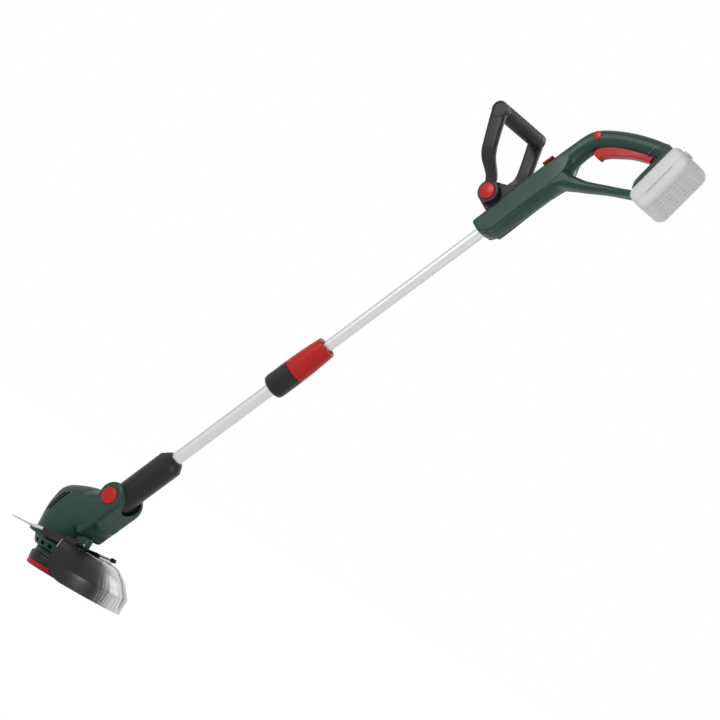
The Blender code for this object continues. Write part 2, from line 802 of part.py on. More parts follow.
def make_head():
    shell = dome("head", 24)
    flange = [
        (FLANGE_BOTTOM, -0.0725, 0.0325, 0.0445, 2.3),
        (FLANGE_BOTTOM + 0.0015, -0.0740, 0.0340, 0.0460, 2.3),
        (FLANGE_TOP - 0.0015, -0.0740, 0.0340, 0.0460, 2.3),
        (FLANGE_TOP, -0.0725, 0.0325, 0.0445, 2.3),
    ]
    base = [
        (0.0, 0.0504),
        (0.0555, 0.0504),
        (0.0548, 0.0470),
        (0.0518, 0.0405),
        (0.0500, 0.0372),
        (0.0460, BASE_BOTTOM),
        (0.0, BASE_BOTTOM),
    ]
    cheeks = plate("cheeks", cheek_outline(), CHEEK_HALF, 0.0082, 3)
    boss_low = (BOSS_X, 0, MOUNT_TOP + GAP)
    boss = cylinder("boss", BOSS_RADIUS, boss_low, (BOSS_X, 0, 0.0840), 24)
    shell = join(shell, [level_loft("flange", flange, 24), turned("base", base, 24), cheeks, boss])

    cutters = head_channel()
    cutters.append(cylinder("chamber", CHAMBER_RADIUS, (0, 0, 0.0300), (0, 0, CHAMBER_TOP), ROUND_STEPS))
    can = MOTOR_RADIUS + GAP
    cutters.append(cylinder("can_room", can, (0, 0, MOTOR_BOTTOM - GAP), (0, 0, MOTOR_TOP + GAP), 24))
    seat = BEARING_RADIUS + GAP
    upper_end = UPPER_BEARING + BEARING_WIDTH + GAP
    lower_start = LOWER_BEARING - GAP
    cutters.append(cylinder("lower_seat", seat, (0, 0, lower_start), (0, 0, MOTOR_BOTTOM + 0.0050), 20))
    cutters.append(cylinder("upper_seat", seat, (0, 0, MOTOR_TOP - 0.0050), (0, 0, upper_end), 20))
    cutters.append(cylinder("shaft_room", 0.0034, (0, 0, 0.0400), (0, 0, SHAFT_TOP + 0.0010), SMALL_STEPS))
    front = [
        (0.0640, -0.0600, -0.0265, 0.0200, 2.6),
        (0.1000, -0.0620, -0.0265, 0.0230, 2.6),
        (0.1290, -0.0530, -0.0265, 0.0170, 2.6),
    ]
    cutters.append(level_loft("air_room", front, 16))
    cutters.append(cylinder("air_duct", 0.0080, (-0.0340, 0, 0.0450), (-0.0340, 0, 0.0700), 14))
    for side in (-1, 1):
        for angle in WINDOW_ANGLES:
            turn = Matrix.Rotation(pi + side * radians(angle), 4, "Z")
            low = (0.0380, -WINDOW_WIDTH / 2, WINDOW_BOTTOM)
            cutters.append(box("window", low, (0.0700, WINDOW_WIDTH / 2, WINDOW_TOP), turn))
    for x, z in VENT_SLOT_CENTRES:
        stand = Matrix.Translation((x, 0, z)) @ Matrix.Rotation(VENT_SLOT_LEAN, 4, "Y")
        low = (-VENT_SLOT_HALF_WIDTH, -0.0600, -VENT_SLOT_HALF_LENGTH)
        high = (VENT_SLOT_HALF_WIDTH, 0.0600, VENT_SLOT_HALF_LENGTH)
        cutters.append(box("vent_slot", low, high, stand))
    for side in (-1, 1):
        floor = side * (CHEEK_HALF - HEAD_POCKET)
        outside = side * (CHEEK_HALF + 0.0100)
        low = (PIVOT_X, floor, PIVOT_Z)
        radius = HEAD_BUTTON_RADIUS + GAP
        cutters.append(cylinder("pocket", radius, low, (PIVOT_X, outside, PIVOT_Z), ROUND_STEPS))
    cutters.append(tilt_pin_solid("pin_bore", GAP))
    for x, z, outer in HEAD_SCREWS:
        cutters.extend(screw_hole((x, outer, z), (0, -1, 0), outer + 0.0060))
    cutters.append(mount_tongue("tongue_slot", GAP))
    halves(cut(shell, cutters), [], "head_shell_left", "head_shell_right", GREEN)

    solids = [screw((x, outer, z), (0, -1, 0), outer + 0.0060) for x, z, outer in HEAD_SCREWS]
    numbered("head_screw", solids, STEEL)
    make_head_button("tilt_button", -1, RED)
    make_head_button("tilt_cap", 1, GREEN)


def make_head_button(name, side, stuff):
    """A round domed cap in a cheek pocket; the left one is the tilt release."""
    inner = CHEEK_HALF - HEAD_BUTTON_SINK if side < 0 else CHEEK_HALF - HEAD_POCKET + GAP
    outer = CHEEK_HALF + HEAD_BUTTON_PROUD
    profile = [
        (0.0, outer),
        (HEAD_BUTTON_RADIUS * 0.45, outer - 0.0004),
        (HEAD_BUTTON_RADIUS * 0.75, outer - 0.0012),
        (HEAD_BUTTON_RADIUS * 0.90, outer - 0.0022),
        (HEAD_BUTTON_RADIUS, outer - 0.0040),
        (HEAD_BUTTON_RADIUS, inner),
        (0.0, inner),
    ]
    turn = Matrix.Rotation(radians(-90.0 * side), 4, "X")
    stand = Matrix.Translation((PIVOT_X, 0, PIVOT_Z)) @ turn
    smooth(keep(turned(name, profile, ROUND_STEPS, stand), stuff))


def make_motor():
    inner = MOTOR_RADIUS - MOTOR_WALL
    hole = 2 * SHAFT_RADIUS
    profile = [
        (MOTOR_RADIUS, MOTOR_TOP),
        (MOTOR_RADIUS, MOTOR_BOTTOM),
        (hole, MOTOR_BOTTOM),
        (hole, MOTOR_BOTTOM + MOTOR_END),
        (inner, MOTOR_BOTTOM + MOTOR_END),
        (inner, MOTOR_TOP - MOTOR_END),
        (hole, MOTOR_TOP - MOTOR_END),
        (hole, MOTOR_TOP),
    ]
    smooth(keep(turned("motor_can", profile, 24, None, closed=True), STEEL))
    for name, low in (("lower_bearing", LOWER_BEARING), ("upper_bearing", UPPER_BEARING)):
        high = low + BEARING_WIDTH
        profile = [(BEARING_RADIUS, high), (BEARING_RADIUS, low), (SHAFT_BORE, low), (SHAFT_BORE, high)]
        smooth(keep(turned(name, profile, 20, None, closed=True), STEEL))
    profile = [
        (0.0, SHAFT_TOP),
        (SHAFT_RADIUS, SHAFT_TOP),
        (SHAFT_RADIUS, ROTOR_TOP + 0.0040),
        (0.0060, ROTOR_TOP + 0.0040),
        (0.0060, ROTOR_TOP),
        (ROTOR_RADIUS, ROTOR_TOP),
        (ROTOR_RADIUS, ROTOR_BOTTOM),
        (SHAFT_RADIUS, ROTOR_BOTTOM),
        (SHAFT_RADIUS, SHAFT_BOTTOM),
        (0.0, SHAFT_BOTTOM),
    ]
    smooth(keep(turned("armature", profile, 20), STEEL))


def make_fan():
    high = FAN_BOTTOM + FAN_DISC + FAN_BLADE_HEIGHT
    profile = [
        (FAN_HUB_RADIUS, high),
        (FAN_HUB_RADIUS, FAN_BOTTOM + FAN_DISC),
        (FAN_RADIUS, FAN_BOTTOM + FAN_DISC),
        (FAN_RADIUS, FAN_BOTTOM),
        (SHAFT_BORE, FAN_BOTTOM),
        (SHAFT_BORE, high),
    ]
    fan = turned("cooling_fan", profile, 24, None, closed=True)
    blades = []
    for k in range(FAN_BLADES):
        turn = Matrix.Rotation(2 * pi * (k + 0.5) / FAN_BLADES, 4, "Z")
        low = (FAN_HUB_RADIUS + 0.0020, -0.0005, FAN_BOTTOM + FAN_DISC / 2)
        high_point = (FAN_RADIUS - 0.0010, 0.0005, high - 0.0004)
        blades.append(box("blade", low, high_point, turn))
    smooth(keep(join(fan, blades), BLACK))


def make_spool_unit():
    """Everything that spins below the motor: hub, cup, reel, line, spring, eyelet and cap."""
    flange = FAN_BOTTOM - GAP
    profile = [
        (HUB_FLANGE_RADIUS, flange),
        (HUB_FLANGE_RADIUS, CUP_TOP + GAP),
        (HUB_RADIUS, CUP_TOP + GAP),
        (HUB_RADIUS, HUB_BOTTOM),
        (0.0, HUB_BOTTOM),
    ]
    hub = turned("drive_hub", [(0.0, flange), *profile], 20)
    bore = cylinder("bore", SHAFT_BORE, (0, 0, SHAFT_BOTTOM - GAP), (0, 0, flange + 0.0100), 20)
    smooth(keep(cut(hub, [bore]), STEEL))

    roof = CUP_TOP - CUP_ROOF
    low = CAP_HEIGHT + GAP
    profile = [
        (CUP_NECK_RADIUS, CUP_TOP),
        (CUP_NECK_RADIUS, CUP_TOP - 0.0060),
        (CUP_RADIUS, CUP_TOP - 0.0125),
        (CUP_RADIUS - 0.0012, low),
        (CUP_INNER, low),
        (CUP_INNER, roof),
        (HUB_RADIUS + GAP, roof),
        (HUB_RADIUS + GAP, CUP_TOP),
    ]
    cup = turned("spool_housing", profile, 28, None, closed=True)
    out = Vector((cos(EYELET_ANGLE), sin(EYELET_ANGLE), 0))
    middle = Vector((0, 0, EYELET_HEIGHT))
    near = middle + out * 0.0360
    far = middle + out * 0.0600
    hole = cylinder("eyelet_hole", EYELET_RADIUS + GAP, near, far, SMALL_STEPS)
    smooth(keep(cut(cup, [hole]), BLACK))

    stand = Matrix.Translation(middle) @ out.to_track_quat("Z", "Y").to_matrix().to_4x4()
    profile = [
        (EYELET_RADIUS - 0.0010, CUP_RADIUS + 0.0012),
        (EYELET_RADIUS, CUP_RADIUS + 0.0004),
        (EYELET_RADIUS, CUP_INNER + 0.0004),
        (LINE_RADIUS + 0.0005, CUP_INNER + 0.0004),
        (LINE_RADIUS + 0.0005, CUP_RADIUS + 0.0012),
    ]
    smooth(keep(turned("line_eyelet", profile, SMALL_STEPS, stand, closed=True), STEEL))

    profile = [
        (REEL_RADIUS, REEL_TOP),
        (REEL_RADIUS, REEL_TOP - REEL_FLANGE),
        (REEL_CORE_RADIUS, REEL_TOP - REEL_FLANGE),
        (REEL_CORE_RADIUS, REEL_BOTTOM + REEL_FLANGE),
        (REEL_RADIUS, REEL_BOTTOM + REEL_FLANGE),
        (REEL_RADIUS, REEL_BOTTOM),
        (HUB_RADIUS + GAP, REEL_BOTTOM),
        (HUB_RADIUS + GAP, REEL_POCKET),
        (SPRING_RADIUS + 0.0020, REEL_POCKET),
        (SPRING_RADIUS + 0.0020, REEL_TOP),
    ]
    smooth(keep(turned("spool", profile, 24, None, closed=True), BLACK))

    gap = LINE_RADIUS * 0.5
    low = REEL_BOTTOM + REEL_FLANGE + gap
    high = REEL_TOP - REEL_FLANGE - gap
    inner = REEL_CORE_RADIUS + gap
    profile = [(COIL_RADIUS, high), (COIL_RADIUS, low), (inner, low), (inner, high)]
    coil = turned("line_coil", profile, 24, None, closed=True)
    start = middle + out * (COIL_RADIUS - 0.0010)
    tail = cylinder("tail", LINE_RADIUS, start, middle + out * LINE_REACH, 8)
    smooth(keep(join(coil, [tail]), LINE))

    bottom = REEL_POCKET + SPRING_WIRE + GAP
    top = roof - SPRING_WIRE - GAP
    points = []
    for k in range(SPRING_TURNS * 8 + 1):
        angle = 2 * pi * k / 8
        height = bottom + (top - bottom) * k / (SPRING_TURNS * 8)
        points.append((SPRING_RADIUS * cos(angle), SPRING_RADIUS * sin(angle), height))
    smooth(keep(rod("spool_spring", points, SPRING_WIRE, 1), STEEL), 60.0)

    profile = [
        (0.0, CAP_FLOOR),
        (CUP_INNER, CAP_FLOOR),
        (CUP_INNER, CAP_HEIGHT),
        (CAP_RADIUS, CAP_HEIGHT),
        (CAP_RADIUS + 0.0001, 0.0040),
        (CAP_RADIUS - 0.0008, 0.0012),
        (CAP_RADIUS - 0.0025, 0.0),
        (0.0, 0.0),
    ]
    cap = turned("spool_cap", profile, 28)
    bump = cylinder("bump", BUMP_RADIUS, (0, 0, 0.0010), (0, 0, REEL_BOTTOM - GAP), 28)
    groove = [
        (BUMP_RADIUS, -0.0010),
        (BUMP_RADIUS, BUMP_GROOVE),
        (BUMP_RADIUS - 0.0020, BUMP_GROOVE),
        (BUMP_RADIUS - 0.0020, -0.0010),
    ]
    smooth(keep(cut(join(cap, [bump]), [turned("groove", groove, 28, None, closed=True)]), RED))


# Guard, its mount, the line cutter and the plant-guard wire
def wedge(name, angle, reach, low, high):
    """Everything within an angle either side of +X, as a cutter or a limit."""
    points = [Vector((0, 0, 0))]
    for k in range(7):
        turn = -angle + 2 * angle * k / 6
        points.append(Vector((reach * cos(turn), reach * sin(turn), 0)))
    bottom = [point + Vector((0, 0, low)) for point in points]
    top = [point + Vector((0, 0, high)) for point in points]
    return loft(name, [bottom, top])


def make_guard():
    outer = [
        (GUARD_INNER, GUARD_TOP - 0.0006),
        (GUARD_RADIUS - 0.0510, GUARD_TOP),
        (GUARD_RADIUS - 0.0410, GUARD_TOP - 0.0006),
        (GUARD_RADIUS - 0.0340, GUARD_TOP - 0.0030),
        (GUARD_RADIUS - 0.0260, GUARD_TOP - 0.0090),
        (GUARD_RADIUS - 0.0180, GUARD_TOP - 0.0155),
        (GUARD_RADIUS - 0.0090, GUARD_TOP - 0.0260),
        (GUARD_RADIUS - 0.0020, GUARD_TOP - 0.0350),
        (GUARD_RADIUS, 0.0280),
        (GUARD_RADIUS, 0.0160),
        (GUARD_RADIUS - 0.0006, GUARD_RIM),
    ]
    wall = GUARD_WALL
    inner = [
        (GUARD_RADIUS - 0.0006 - wall, GUARD_RIM),
        (GUARD_RADIUS - wall, 0.0160),
        (GUARD_RADIUS - wall, 0.0272),
        (GUARD_RADIUS - 0.0040, GUARD_TOP - 0.0364),
        (GUARD_RADIUS - 0.0109, GUARD_TOP - 0.0276),
        (GUARD_RADIUS - 0.0197, GUARD_TOP - 0.0174),
        (GUARD_RADIUS - 0.0274, GUARD_TOP - 0.0112),
        (GUARD_RADIUS - 0.0352, GUARD_TOP - 0.0054),
        (GUARD_RADIUS - 0.0415, GUARD_TOP - 0.0031),
        (GUARD_RADIUS - 0.0510, GUARD_TOP - wall),
        (GUARD_INNER, GUARD_TOP - wall),
    ]
    ring = turned("guard_shield", outer + inner, 48, None, closed=True)
    limit = wedge("limit", GUARD_HALF_ANGLE, 3 * GUARD_RADIUS, -0.0500, GUARD_TOP + 0.0500)
    shield = combine(ring, [limit], "INTERSECT")
    cutters = []
    beyond = GUARD_RADIUS + 0.0210
    within = GUARD_RADIUS - 0.0590
    middle = radians(53.0)
    for side in (-1, 1):
        turn = Matrix.Rotation(side * middle, 4, "Z")
        outer_ring = []
        inner_ring = []
        for angle, z in GUARD_CORNER:
            y = side * tan(radians(angle) - middle)
            outer_ring.append(turn @ Vector((beyond, beyond * y, z)))
            inner_ring.append(turn @ Vector((within, within * y, z)))
        cutters.append(loft("corner", [inner_ring, outer_ring]))
    stand = Matrix.Rotation(CUTTER_ANGLE, 4, "Z")
    for place in GUARD_SCREWS:
        cutters.extend(screw_hole(place, (0, 0, 1), GUARD_SCREW_LENGTH))
    rails = []
    outline = [
        (RAIL_FRONT, GUARD_TOP - 0.0015),
        (RAIL_REAR, GUARD_TOP - 0.0015),
        (RAIL_REAR, wire_height(RAIL_REAR) + ARM_COVER),
        (RAIL_FRONT, wire_height(RAIL_FRONT) + ARM_COVER),
    ]
    for side in (-1, 1):
        middle = side * (RAIL_INNER + RAIL_OUTER) / 2
        rails.append(plate("rail", outline, (RAIL_OUTER - RAIL_INNER) / 2, middle=middle))
    shield = cut(join(shield, rails), cutters)
    smooth(keep(shield, SMOKE))

    reach = GUARD_RADIUS - GUARD_WALL - SLACK - 0.0006
    outline = [
        (reach - CUTTER_REACH, 0.0060),
        (reach - 0.0030, 0.0045),
        (reach, 0.0045),
        (reach, 0.0165),
        (reach - 0.0030, 0.0165),
    ]
    smooth(keep(plate("line_cutter", outline, 0.0006, frame=stand), STEEL))


def mount_tongue(name, extra):
    """The tongue that the two head shells close on."""
    low = (TONGUE_TIP_X - extra, -0.0120 - extra, MOUNT_BOTTOM - extra)
    return box(name, low, (MOUNT_FRONT + 0.0020, 0.0120 + extra, MOUNT_BOTTOM + 0.0045 + extra))


def make_guard_mount():
    """A yoke behind the dome with two arms that guide the plant-guard wire."""
    web = []
    for k in range(9):
        turn = -GUARD_HALF_ANGLE + 2 * GUARD_HALF_ANGLE * k / 8
        web.append(Vector((MOUNT_REACH * cos(turn), MOUNT_REACH * sin(turn), 0)))
    side = ARM_OUTER - 0.0012
    outline = [Vector((MOUNT_FRONT, -side, 0)), *web, Vector((MOUNT_FRONT, side, 0))]
    outline.append(Vector((MOUNT_FRONT, 0, 0)))
    low = [point + Vector((0, 0, MOUNT_BOTTOM)) for point in outline]
    high = [point + Vector((0, 0, MOUNT_TOP)) for point in outline]
    body = loft("guard_mount", [low, high])
    arms = []
    for sign in (-1, 1):
        outline = [
            (ARM_FRONT + 0.0030, ARM_BOTTOM),
            (ARM_REAR + 0.0010, ARM_BOTTOM + 0.0046),
            (ARM_REAR + 0.0010, MOUNT_TOP - 0.0010),
            (ARM_REAR, MOUNT_TOP - 0.0002),
            (ARM_REAR, wire_height(ARM_REAR) + ARM_COVER),
            (ARM_FRONT + 0.0010, wire_height(ARM_FRONT) + ARM_COVER),
            (ARM_FRONT, wire_height(ARM_FRONT) + ARM_COVER - 0.0015),
        ]
        half = (ARM_OUTER - ARM_INNER) / 2
        arms.append(plate("arm", outline, half, 0.0010, 1, middle=sign * (ARM_OUTER + ARM_INNER) / 2))
    body = join(body, [*arms, mount_tongue("mount_tongue", 0.0)])
    cutters = []
    for sign in (-1, 1):
        front = Vector((-0.0500, sign * WIRE_HALF, wire_height(-0.0500)))
        rear = Vector((0.1000, sign * WIRE_HALF, wire_height(0.1000)))
        cutters.append(cylinder("wire_room", WIRE_RADIUS + GAP, front, rear, 12))
    for place in GUARD_SCREWS:
        cutters.extend(screw_hole(place, (0, 0, 1), GUARD_SCREW_LENGTH))
    smooth(keep(cut(body, cutters), BLACK))

    solids = [screw(place, (0, 0, 1), GUARD_SCREW_LENGTH) for place in GUARD_SCREWS]
    numbered("guard_screw", solids, STEEL)


def make_plant_guard():
    """One bent wire round the front of the head, its two sleeves and its two end stops."""
    def spot(x, y):
        return (x, y, wire_height(x))

    points = [spot(WIRE_END_X, -WIRE_HALF), spot(WIRE_BEND_X, -WIRE_HALF)]
    for k in range(17):
        turn = -pi / 2 - pi * k / 16
        points.append(spot(WIRE_ARC_X + WIRE_HALF * cos(turn), WIRE_HALF * sin(turn)))
    points.append(spot(WIRE_BEND_X, WIRE_HALF))
    points.append(spot(WIRE_END_X, WIRE_HALF))
    smooth(keep(rod("plant_guard_wire", points, WIRE_RADIUS, 1), STEEL), 60.0)

    sleeves = []
    stops = []
    for sign in (-1, 1):
        y = sign * WIRE_HALF
        front = Vector(spot(FERRULE_FRONT, y))
        rear = Vector(spot(ARM_FRONT - GAP, y))
        sleeve = cylinder("sleeve", FERRULE_RADIUS, front, rear, SMALL_STEPS)
        along = (rear - front).normalized()
        hole = cylinder("hole", WIRE_RADIUS + GAP, front - along * 0.01, rear + along * 0.01, 8)
        sleeves.append(cut(sleeve, [hole]))
        middle = wire_height((STOP_FRONT + STOP_REAR) / 2)
        low = (STOP_FRONT, y - STOP_HALF, STOP_FLOOR)
        stop = box("stop", low, (STOP_REAR, y + STOP_HALF, middle + STOP_HALF))
        stop = settled(round_edges(stop, 0.0012, 2))
        hole = cylinder("hole", WIRE_RADIUS + GAP, spot(0.0500, y), spot(0.0900, y), 8)
        stops.append(cut(stop, [hole]))
    numbered("wire_ferrule", sleeves, SATIN)
    numbered("wire_end_stop", stops, BLACK)


# Rear handle
def rib_loft(name, ribs, count):
    """Loft through ribs, each from a top point to a bottom point in the XZ plane."""
    sections = []
    for top, bottom, half_width, power in ribs:
        top = Vector((top[0], 0, top[1]))
        bottom = Vector((bottom[0], 0, bottom[1]))
        middle = (top + bottom) / 2
        reach = (top - bottom) / 2
        side = Vector((0, half_width, 0))
        sections.append([middle + reach * a + side * b for a, b in oval(1.0, 1.0, power, count)])
    return loft(name, sections)


def tube_rib(s, high, low, half_width, power):
    top = on_tube(s, high)
    bottom = on_tube(s, low)
    return ((top.x, top.z), (bottom.x, bottom.z), half_width, power)


def handle_body():
    ribs = [
        tube_rib(0.7750, 0.0145, -0.0080, 0.0185, 5.0),
        tube_rib(0.7780, 0.0170, -0.0110, 0.0213, 5.0),
        tube_rib(0.7920, 0.0175, -0.0220, 0.0218, 5.0),
        tube_rib(0.8500, 0.0190, -0.0240, 0.0219, 5.0),
        tube_rib(0.9050, 0.0210, -0.0240, 0.0219, 5.0),
        tube_rib(0.9300, 0.0215, -0.0240, 0.0218, 4.6),
    ]
    sweep = [
        (on_tube(0.9480, 0.0220), (0.5090, 1.0010), 0.0212, 4.0),
        (on_tube(0.9660, 0.0225), (0.5060, 1.0180), 0.0200, 3.5),
        (on_tube(0.9900, 0.0230), (0.5130, 1.0380), 0.0187, 3.0),
        (on_tube(1.0060, 0.0235), (0.5230, 1.0530), 0.0176, 2.7),
    ]
    for top, bottom, half_width, power in sweep:
        ribs.append(((top.x, top.z), bottom, half_width, power))
    ribs.extend([
        ((0.5060, 1.0830), (0.5300, 1.0590), 0.0172, 2.5),
        (*GRIP_BEND, 0.0170, 2.4),
        ((0.5400, 1.1000), (0.5510, 1.0690), 0.0168, 2.3),
        ((0.5650, 1.1070), (0.5700, 1.0750), 0.0167, 2.3),
        ((0.5900, 1.1120), (0.5920, 1.0795), 0.0167, 2.3),
        ((0.6150, 1.1150), (0.6150, 1.0825), 0.0168, 2.3),
        ((0.6400, 1.1160), (0.6360, 1.0850), 0.0172, 2.5),
        ((0.6570, 1.1130), (0.6500, 1.0880), 0.0190, 3.0),
    ])
    return rib_loft("handle", ribs, 24)


def handle_bar():
    """The lower bar that closes the loop under the grip."""
    ribs = [
        ((0.4840, 1.0080), (0.4860, 0.9560), 0.0206, 4.0),
        ((0.5000, 1.0060), (0.5000, 0.9735), 0.0200, 3.8),
        ((0.5150, 1.0035), (0.5150, 0.9790), 0.0180, 3.2),
        ((0.5280, 1.0040), (0.5290, 0.9830), 0.0160, 2.8),
        ((0.5450, 1.0055), (0.5450, 0.9870), 0.0145, 2.5),
        ((0.5800, 1.0130), (0.5800, 0.9980), 0.0135, 2.5),
        ((0.6100, 1.0195), (0.6120, 1.0060), 0.0140, 2.5),
        ((0.6340, 1.0245), (0.6370, 1.0125), 0.0180, 2.8),
    ]
    return rib_loft("bar", ribs, 16)


def handle_foot():
    """The foot that carries the battery, widening towards its seat."""
    sections = []
    for x, low, high, half_width in (
        (-0.0191, -0.0433, 0.0347, 0.0170),
        (-0.0101, -0.0513, 0.0440, 0.0240),
        (-GAP, -0.0553, 0.0477, 0.0300),
    ):
        middle = (low + high) / 2
        outline = oval((high - low) / 2, half_width, 5.0, 24)
        sections.append([on_seat(x, b, middle + a) for a, b in outline])
    return loft("foot", sections)


def handle_boss():
    """The raised bearing of the second handle, tangent to the top of the housing."""
    points = []
    last = radians(36.2)
    for k in range(13):
        angle = pi + (last - pi) * k / 12
        s = PIVOT_BOSS_S + PIVOT_BOSS_RADIUS * cos(angle)
        n = PIVOT_BOSS_N + PIVOT_BOSS_RADIUS * sin(angle)
        points.append((-n, s))
    points.append((-0.0150, PIVOT_BOSS_S + 0.0420))
    points.append((-0.0150, PIVOT_BOSS_S - PIVOT_BOSS_RADIUS))
    return plate("boss", points, LUG_INNER - GAP, 0.0015, 1, TUBE_FRAME)


def trigger_outline(grow):
    """Side outline of the trigger; grown, and swung up at the front, it is the slot."""
    px, pz = TRIGGER_PIVOT
    lower = [
        (0.5260, 1.0510),
        (0.5330, 1.0468),
        (0.5410, 1.0448),
        (0.5425, 1.0505),
        (0.5530, 1.0565),
        (0.5670, 1.0620),
        (0.5820, 1.0676),
        (0.5960, 1.0715),
        (0.6140, 1.0742),
        (0.6300, 1.0760),
    ]
    upper = [
        (0.6080, 1.0885),
        (0.5800, 1.0840),
        (0.5600, 1.0775),
        (0.5440, 1.0705),
        (0.5290, 1.0600),
    ]
    lug = []
    radius = TRIGGER_LUG_RADIUS + grow
    for k in range(9):
        angle = -pi / 2 + pi * k / 8 + radians(15.0)
        lug.append((px + radius * cos(angle), pz + radius * sin(angle)))
    if grow == 0:
        return lower + lug + upper
    swung = []
    turn = TRIGGER_SWING + radians(0.8)
    for x, z in upper:
        dx = x - px
        dz = z - pz
        swung.append((px + dx * cos(turn) + dz * sin(turn), pz - dx * sin(turn) + dz * cos(turn)))
    end = px + TRIGGER_LUG_RADIUS + grow
    front = lower[0][0] - 0.0050
    lowered = [(x, z - 0.0300) for x, z in lower[1:-1]]
    tail = [(px - 0.0060, lower[-1][1] - 0.0260), (end, lower[-1][1] - 0.0030)]
    return [(front, 1.0210), *lowered, *tail, *lug[4:], *swung, (front, 1.0730)]


def make_trigger():
    body = plate("trigger", trigger_outline(0.0), TRIGGER_HALF, 0.0018, 2)
    x, z = TRIGGER_PIVOT
    half = TRIGGER_PIN_HALF
    pin = cylinder("pin", TRIGGER_PIN_RADIUS, (x, -half, z), (x, half, z), SMALL_STEPS)
    smooth(keep(join(body, [pin]), RED))


def make_handle():
    shell = join(handle_body(), [handle_bar(), handle_foot(), handle_boss()])
    x, z = TRIGGER_PIVOT
    half = TRIGGER_PIN_HALF + GAP
    low = (SWITCH_FRONT, -SWITCH_HALF, SWITCH_BOTTOM - 0.0080)
    high = (SWITCH_REAR, SWITCH_HALF, SWITCH_TOP)
    socket = UPPER_TUBE_RADIUS + GAP
    cutters = [
        cylinder("trigger_pin", TRIGGER_PIN_RADIUS + GAP, (x, -half, z), (x, half, z), SMALL_STEPS),
        cylinder("socket", socket, on_tube(0.7600), on_tube(HANDLE_SOCKET_END), ROUND_STEPS),
        plate("trigger_slot", trigger_outline(SLACK), TRIGGER_HALF + GAP),
        box("switch_room", low, high),
    ]
    start = (LOCK_X, -LOCK_INNER + LOCK_TRAVEL + GAP, LOCK_Z)
    cutters.append(cylinder("lock_pocket", LOCK_RADIUS + GAP, start, (LOCK_X, -0.0400, LOCK_Z), 24))
    low = (-0.0400, -SLIDER_HALF - GAP, SLIDER_START - GAP)
    high = (-SLIDER_FLOOR, SLIDER_HALF + GAP, SLIDER_START + SLIDER_LENGTH + SLIDER_TRAVEL + GAP)
    cutters.append(box("slider_slot", low, high, TUBE_FRAME))
    low = (-TONGUE_ROOT, -TONGUE_WEB_HALF - GAP, TONGUE_BOTTOM - GAP)
    high = (0.0200, TONGUE_WEB_HALF + GAP, TONGUE_TOP + GAP)
    cutters.append(box("tongue_seat", low, high, SEAT_FRAME))
    near = YOKE_PIVOT + Vector((0, -0.0400, 0))
    far = YOKE_PIVOT + Vector((0, 0.0400, 0))
    cutters.append(cylinder("front_pin_bore", FRONT_PIN_RADIUS + GAP, near, far, SMALL_STEPS))
    for (x, z), outer in HANDLE_SCREWS:
        cutters.extend(screw_hole((x, outer, z), (0, -1, 0), outer + 0.0060))
    halves(shell, cutters, "handle_shell_left", "handle_shell_right", GREEN)

    solids = []
    for (x, z), outer in HANDLE_SCREWS:
        solids.append(screw((x, outer, z), (0, -1, 0), outer + 0.0060))
    numbered("handle_screw", solids, STEEL)

    half = LUG_OUTER - YOKE_BUTTON_POCKET - SLACK
    near = YOKE_PIVOT + Vector((0, -half, 0))
    far = YOKE_PIVOT + Vector((0, half, 0))
    smooth(keep(cylinder("front_handle_pin", FRONT_PIN_RADIUS, near, far, SMALL_STEPS), STEEL))

    low = (SWITCH_FRONT + GAP, -SWITCH_HALF + GAP, SWITCH_BOTTOM)
    high = (SWITCH_REAR - GAP, SWITCH_HALF - GAP, SWITCH_TOP - GAP)
    smooth(keep(box("trigger_switch", low, high), BLACK))


def make_controls():
    profile = [
        (0.0, LOCK_OUTER),
        (LOCK_RADIUS * 0.55, LOCK_OUTER - 0.0003),
        (LOCK_RADIUS * 0.85, LOCK_OUTER - 0.0011),
        (LOCK_RADIUS, LOCK_OUTER - 0.0026),
        (LOCK_RADIUS, LOCK_INNER),
        (0.0, LOCK_INNER),
    ]
    stand = Matrix.Translation((LOCK_X, 0, LOCK_Z)) @ Matrix.Rotation(radians(90.0), 4, "X")
    smooth(keep(turned("lock_off_button", profile, 24, stand), RED))

    end = SLIDER_START + SLIDER_LENGTH
    outline = [
        (-SLIDER_FLOOR - GAP, SLIDER_START),
        (-SLIDER_FLOOR - GAP, end),
        (-SLIDER_TOP + 0.0030, end),
        (-SLIDER_TOP, end - 0.0055),
        (-SLIDER_TOP, SLIDER_START + 0.0055),
        (-SLIDER_TOP + 0.0030, SLIDER_START),
    ]
    smooth(keep(plate("mode_slider", outline, SLIDER_HALF, 0.0010, 2, TUBE_FRAME), RED))


# Second handle
def strap(name, stations, frame, count=12):
    """A flat bar through stations (y, z, half width, half thickness) of the yoke's middle plane."""
    sections = []
    last = len(stations) - 1
    for k, (y, z, half_width, half_thick) in enumerate(stations):
        before = stations[max(k - 1, 0)]
        after = stations[min(k + 1, last)]
        along = Vector((0, after[0] - before[0], after[1] - before[1])).normalized()
        across = Vector((1, 0, 0))
        through = along.cross(across)
        ring = []
        for a, b in oval(half_width, half_thick, 3.6, count):
            ring.append(frame @ (Vector((-0.0015, y, z)) + across * a + through * b))
        sections.append(ring)
    return loft(name, sections)


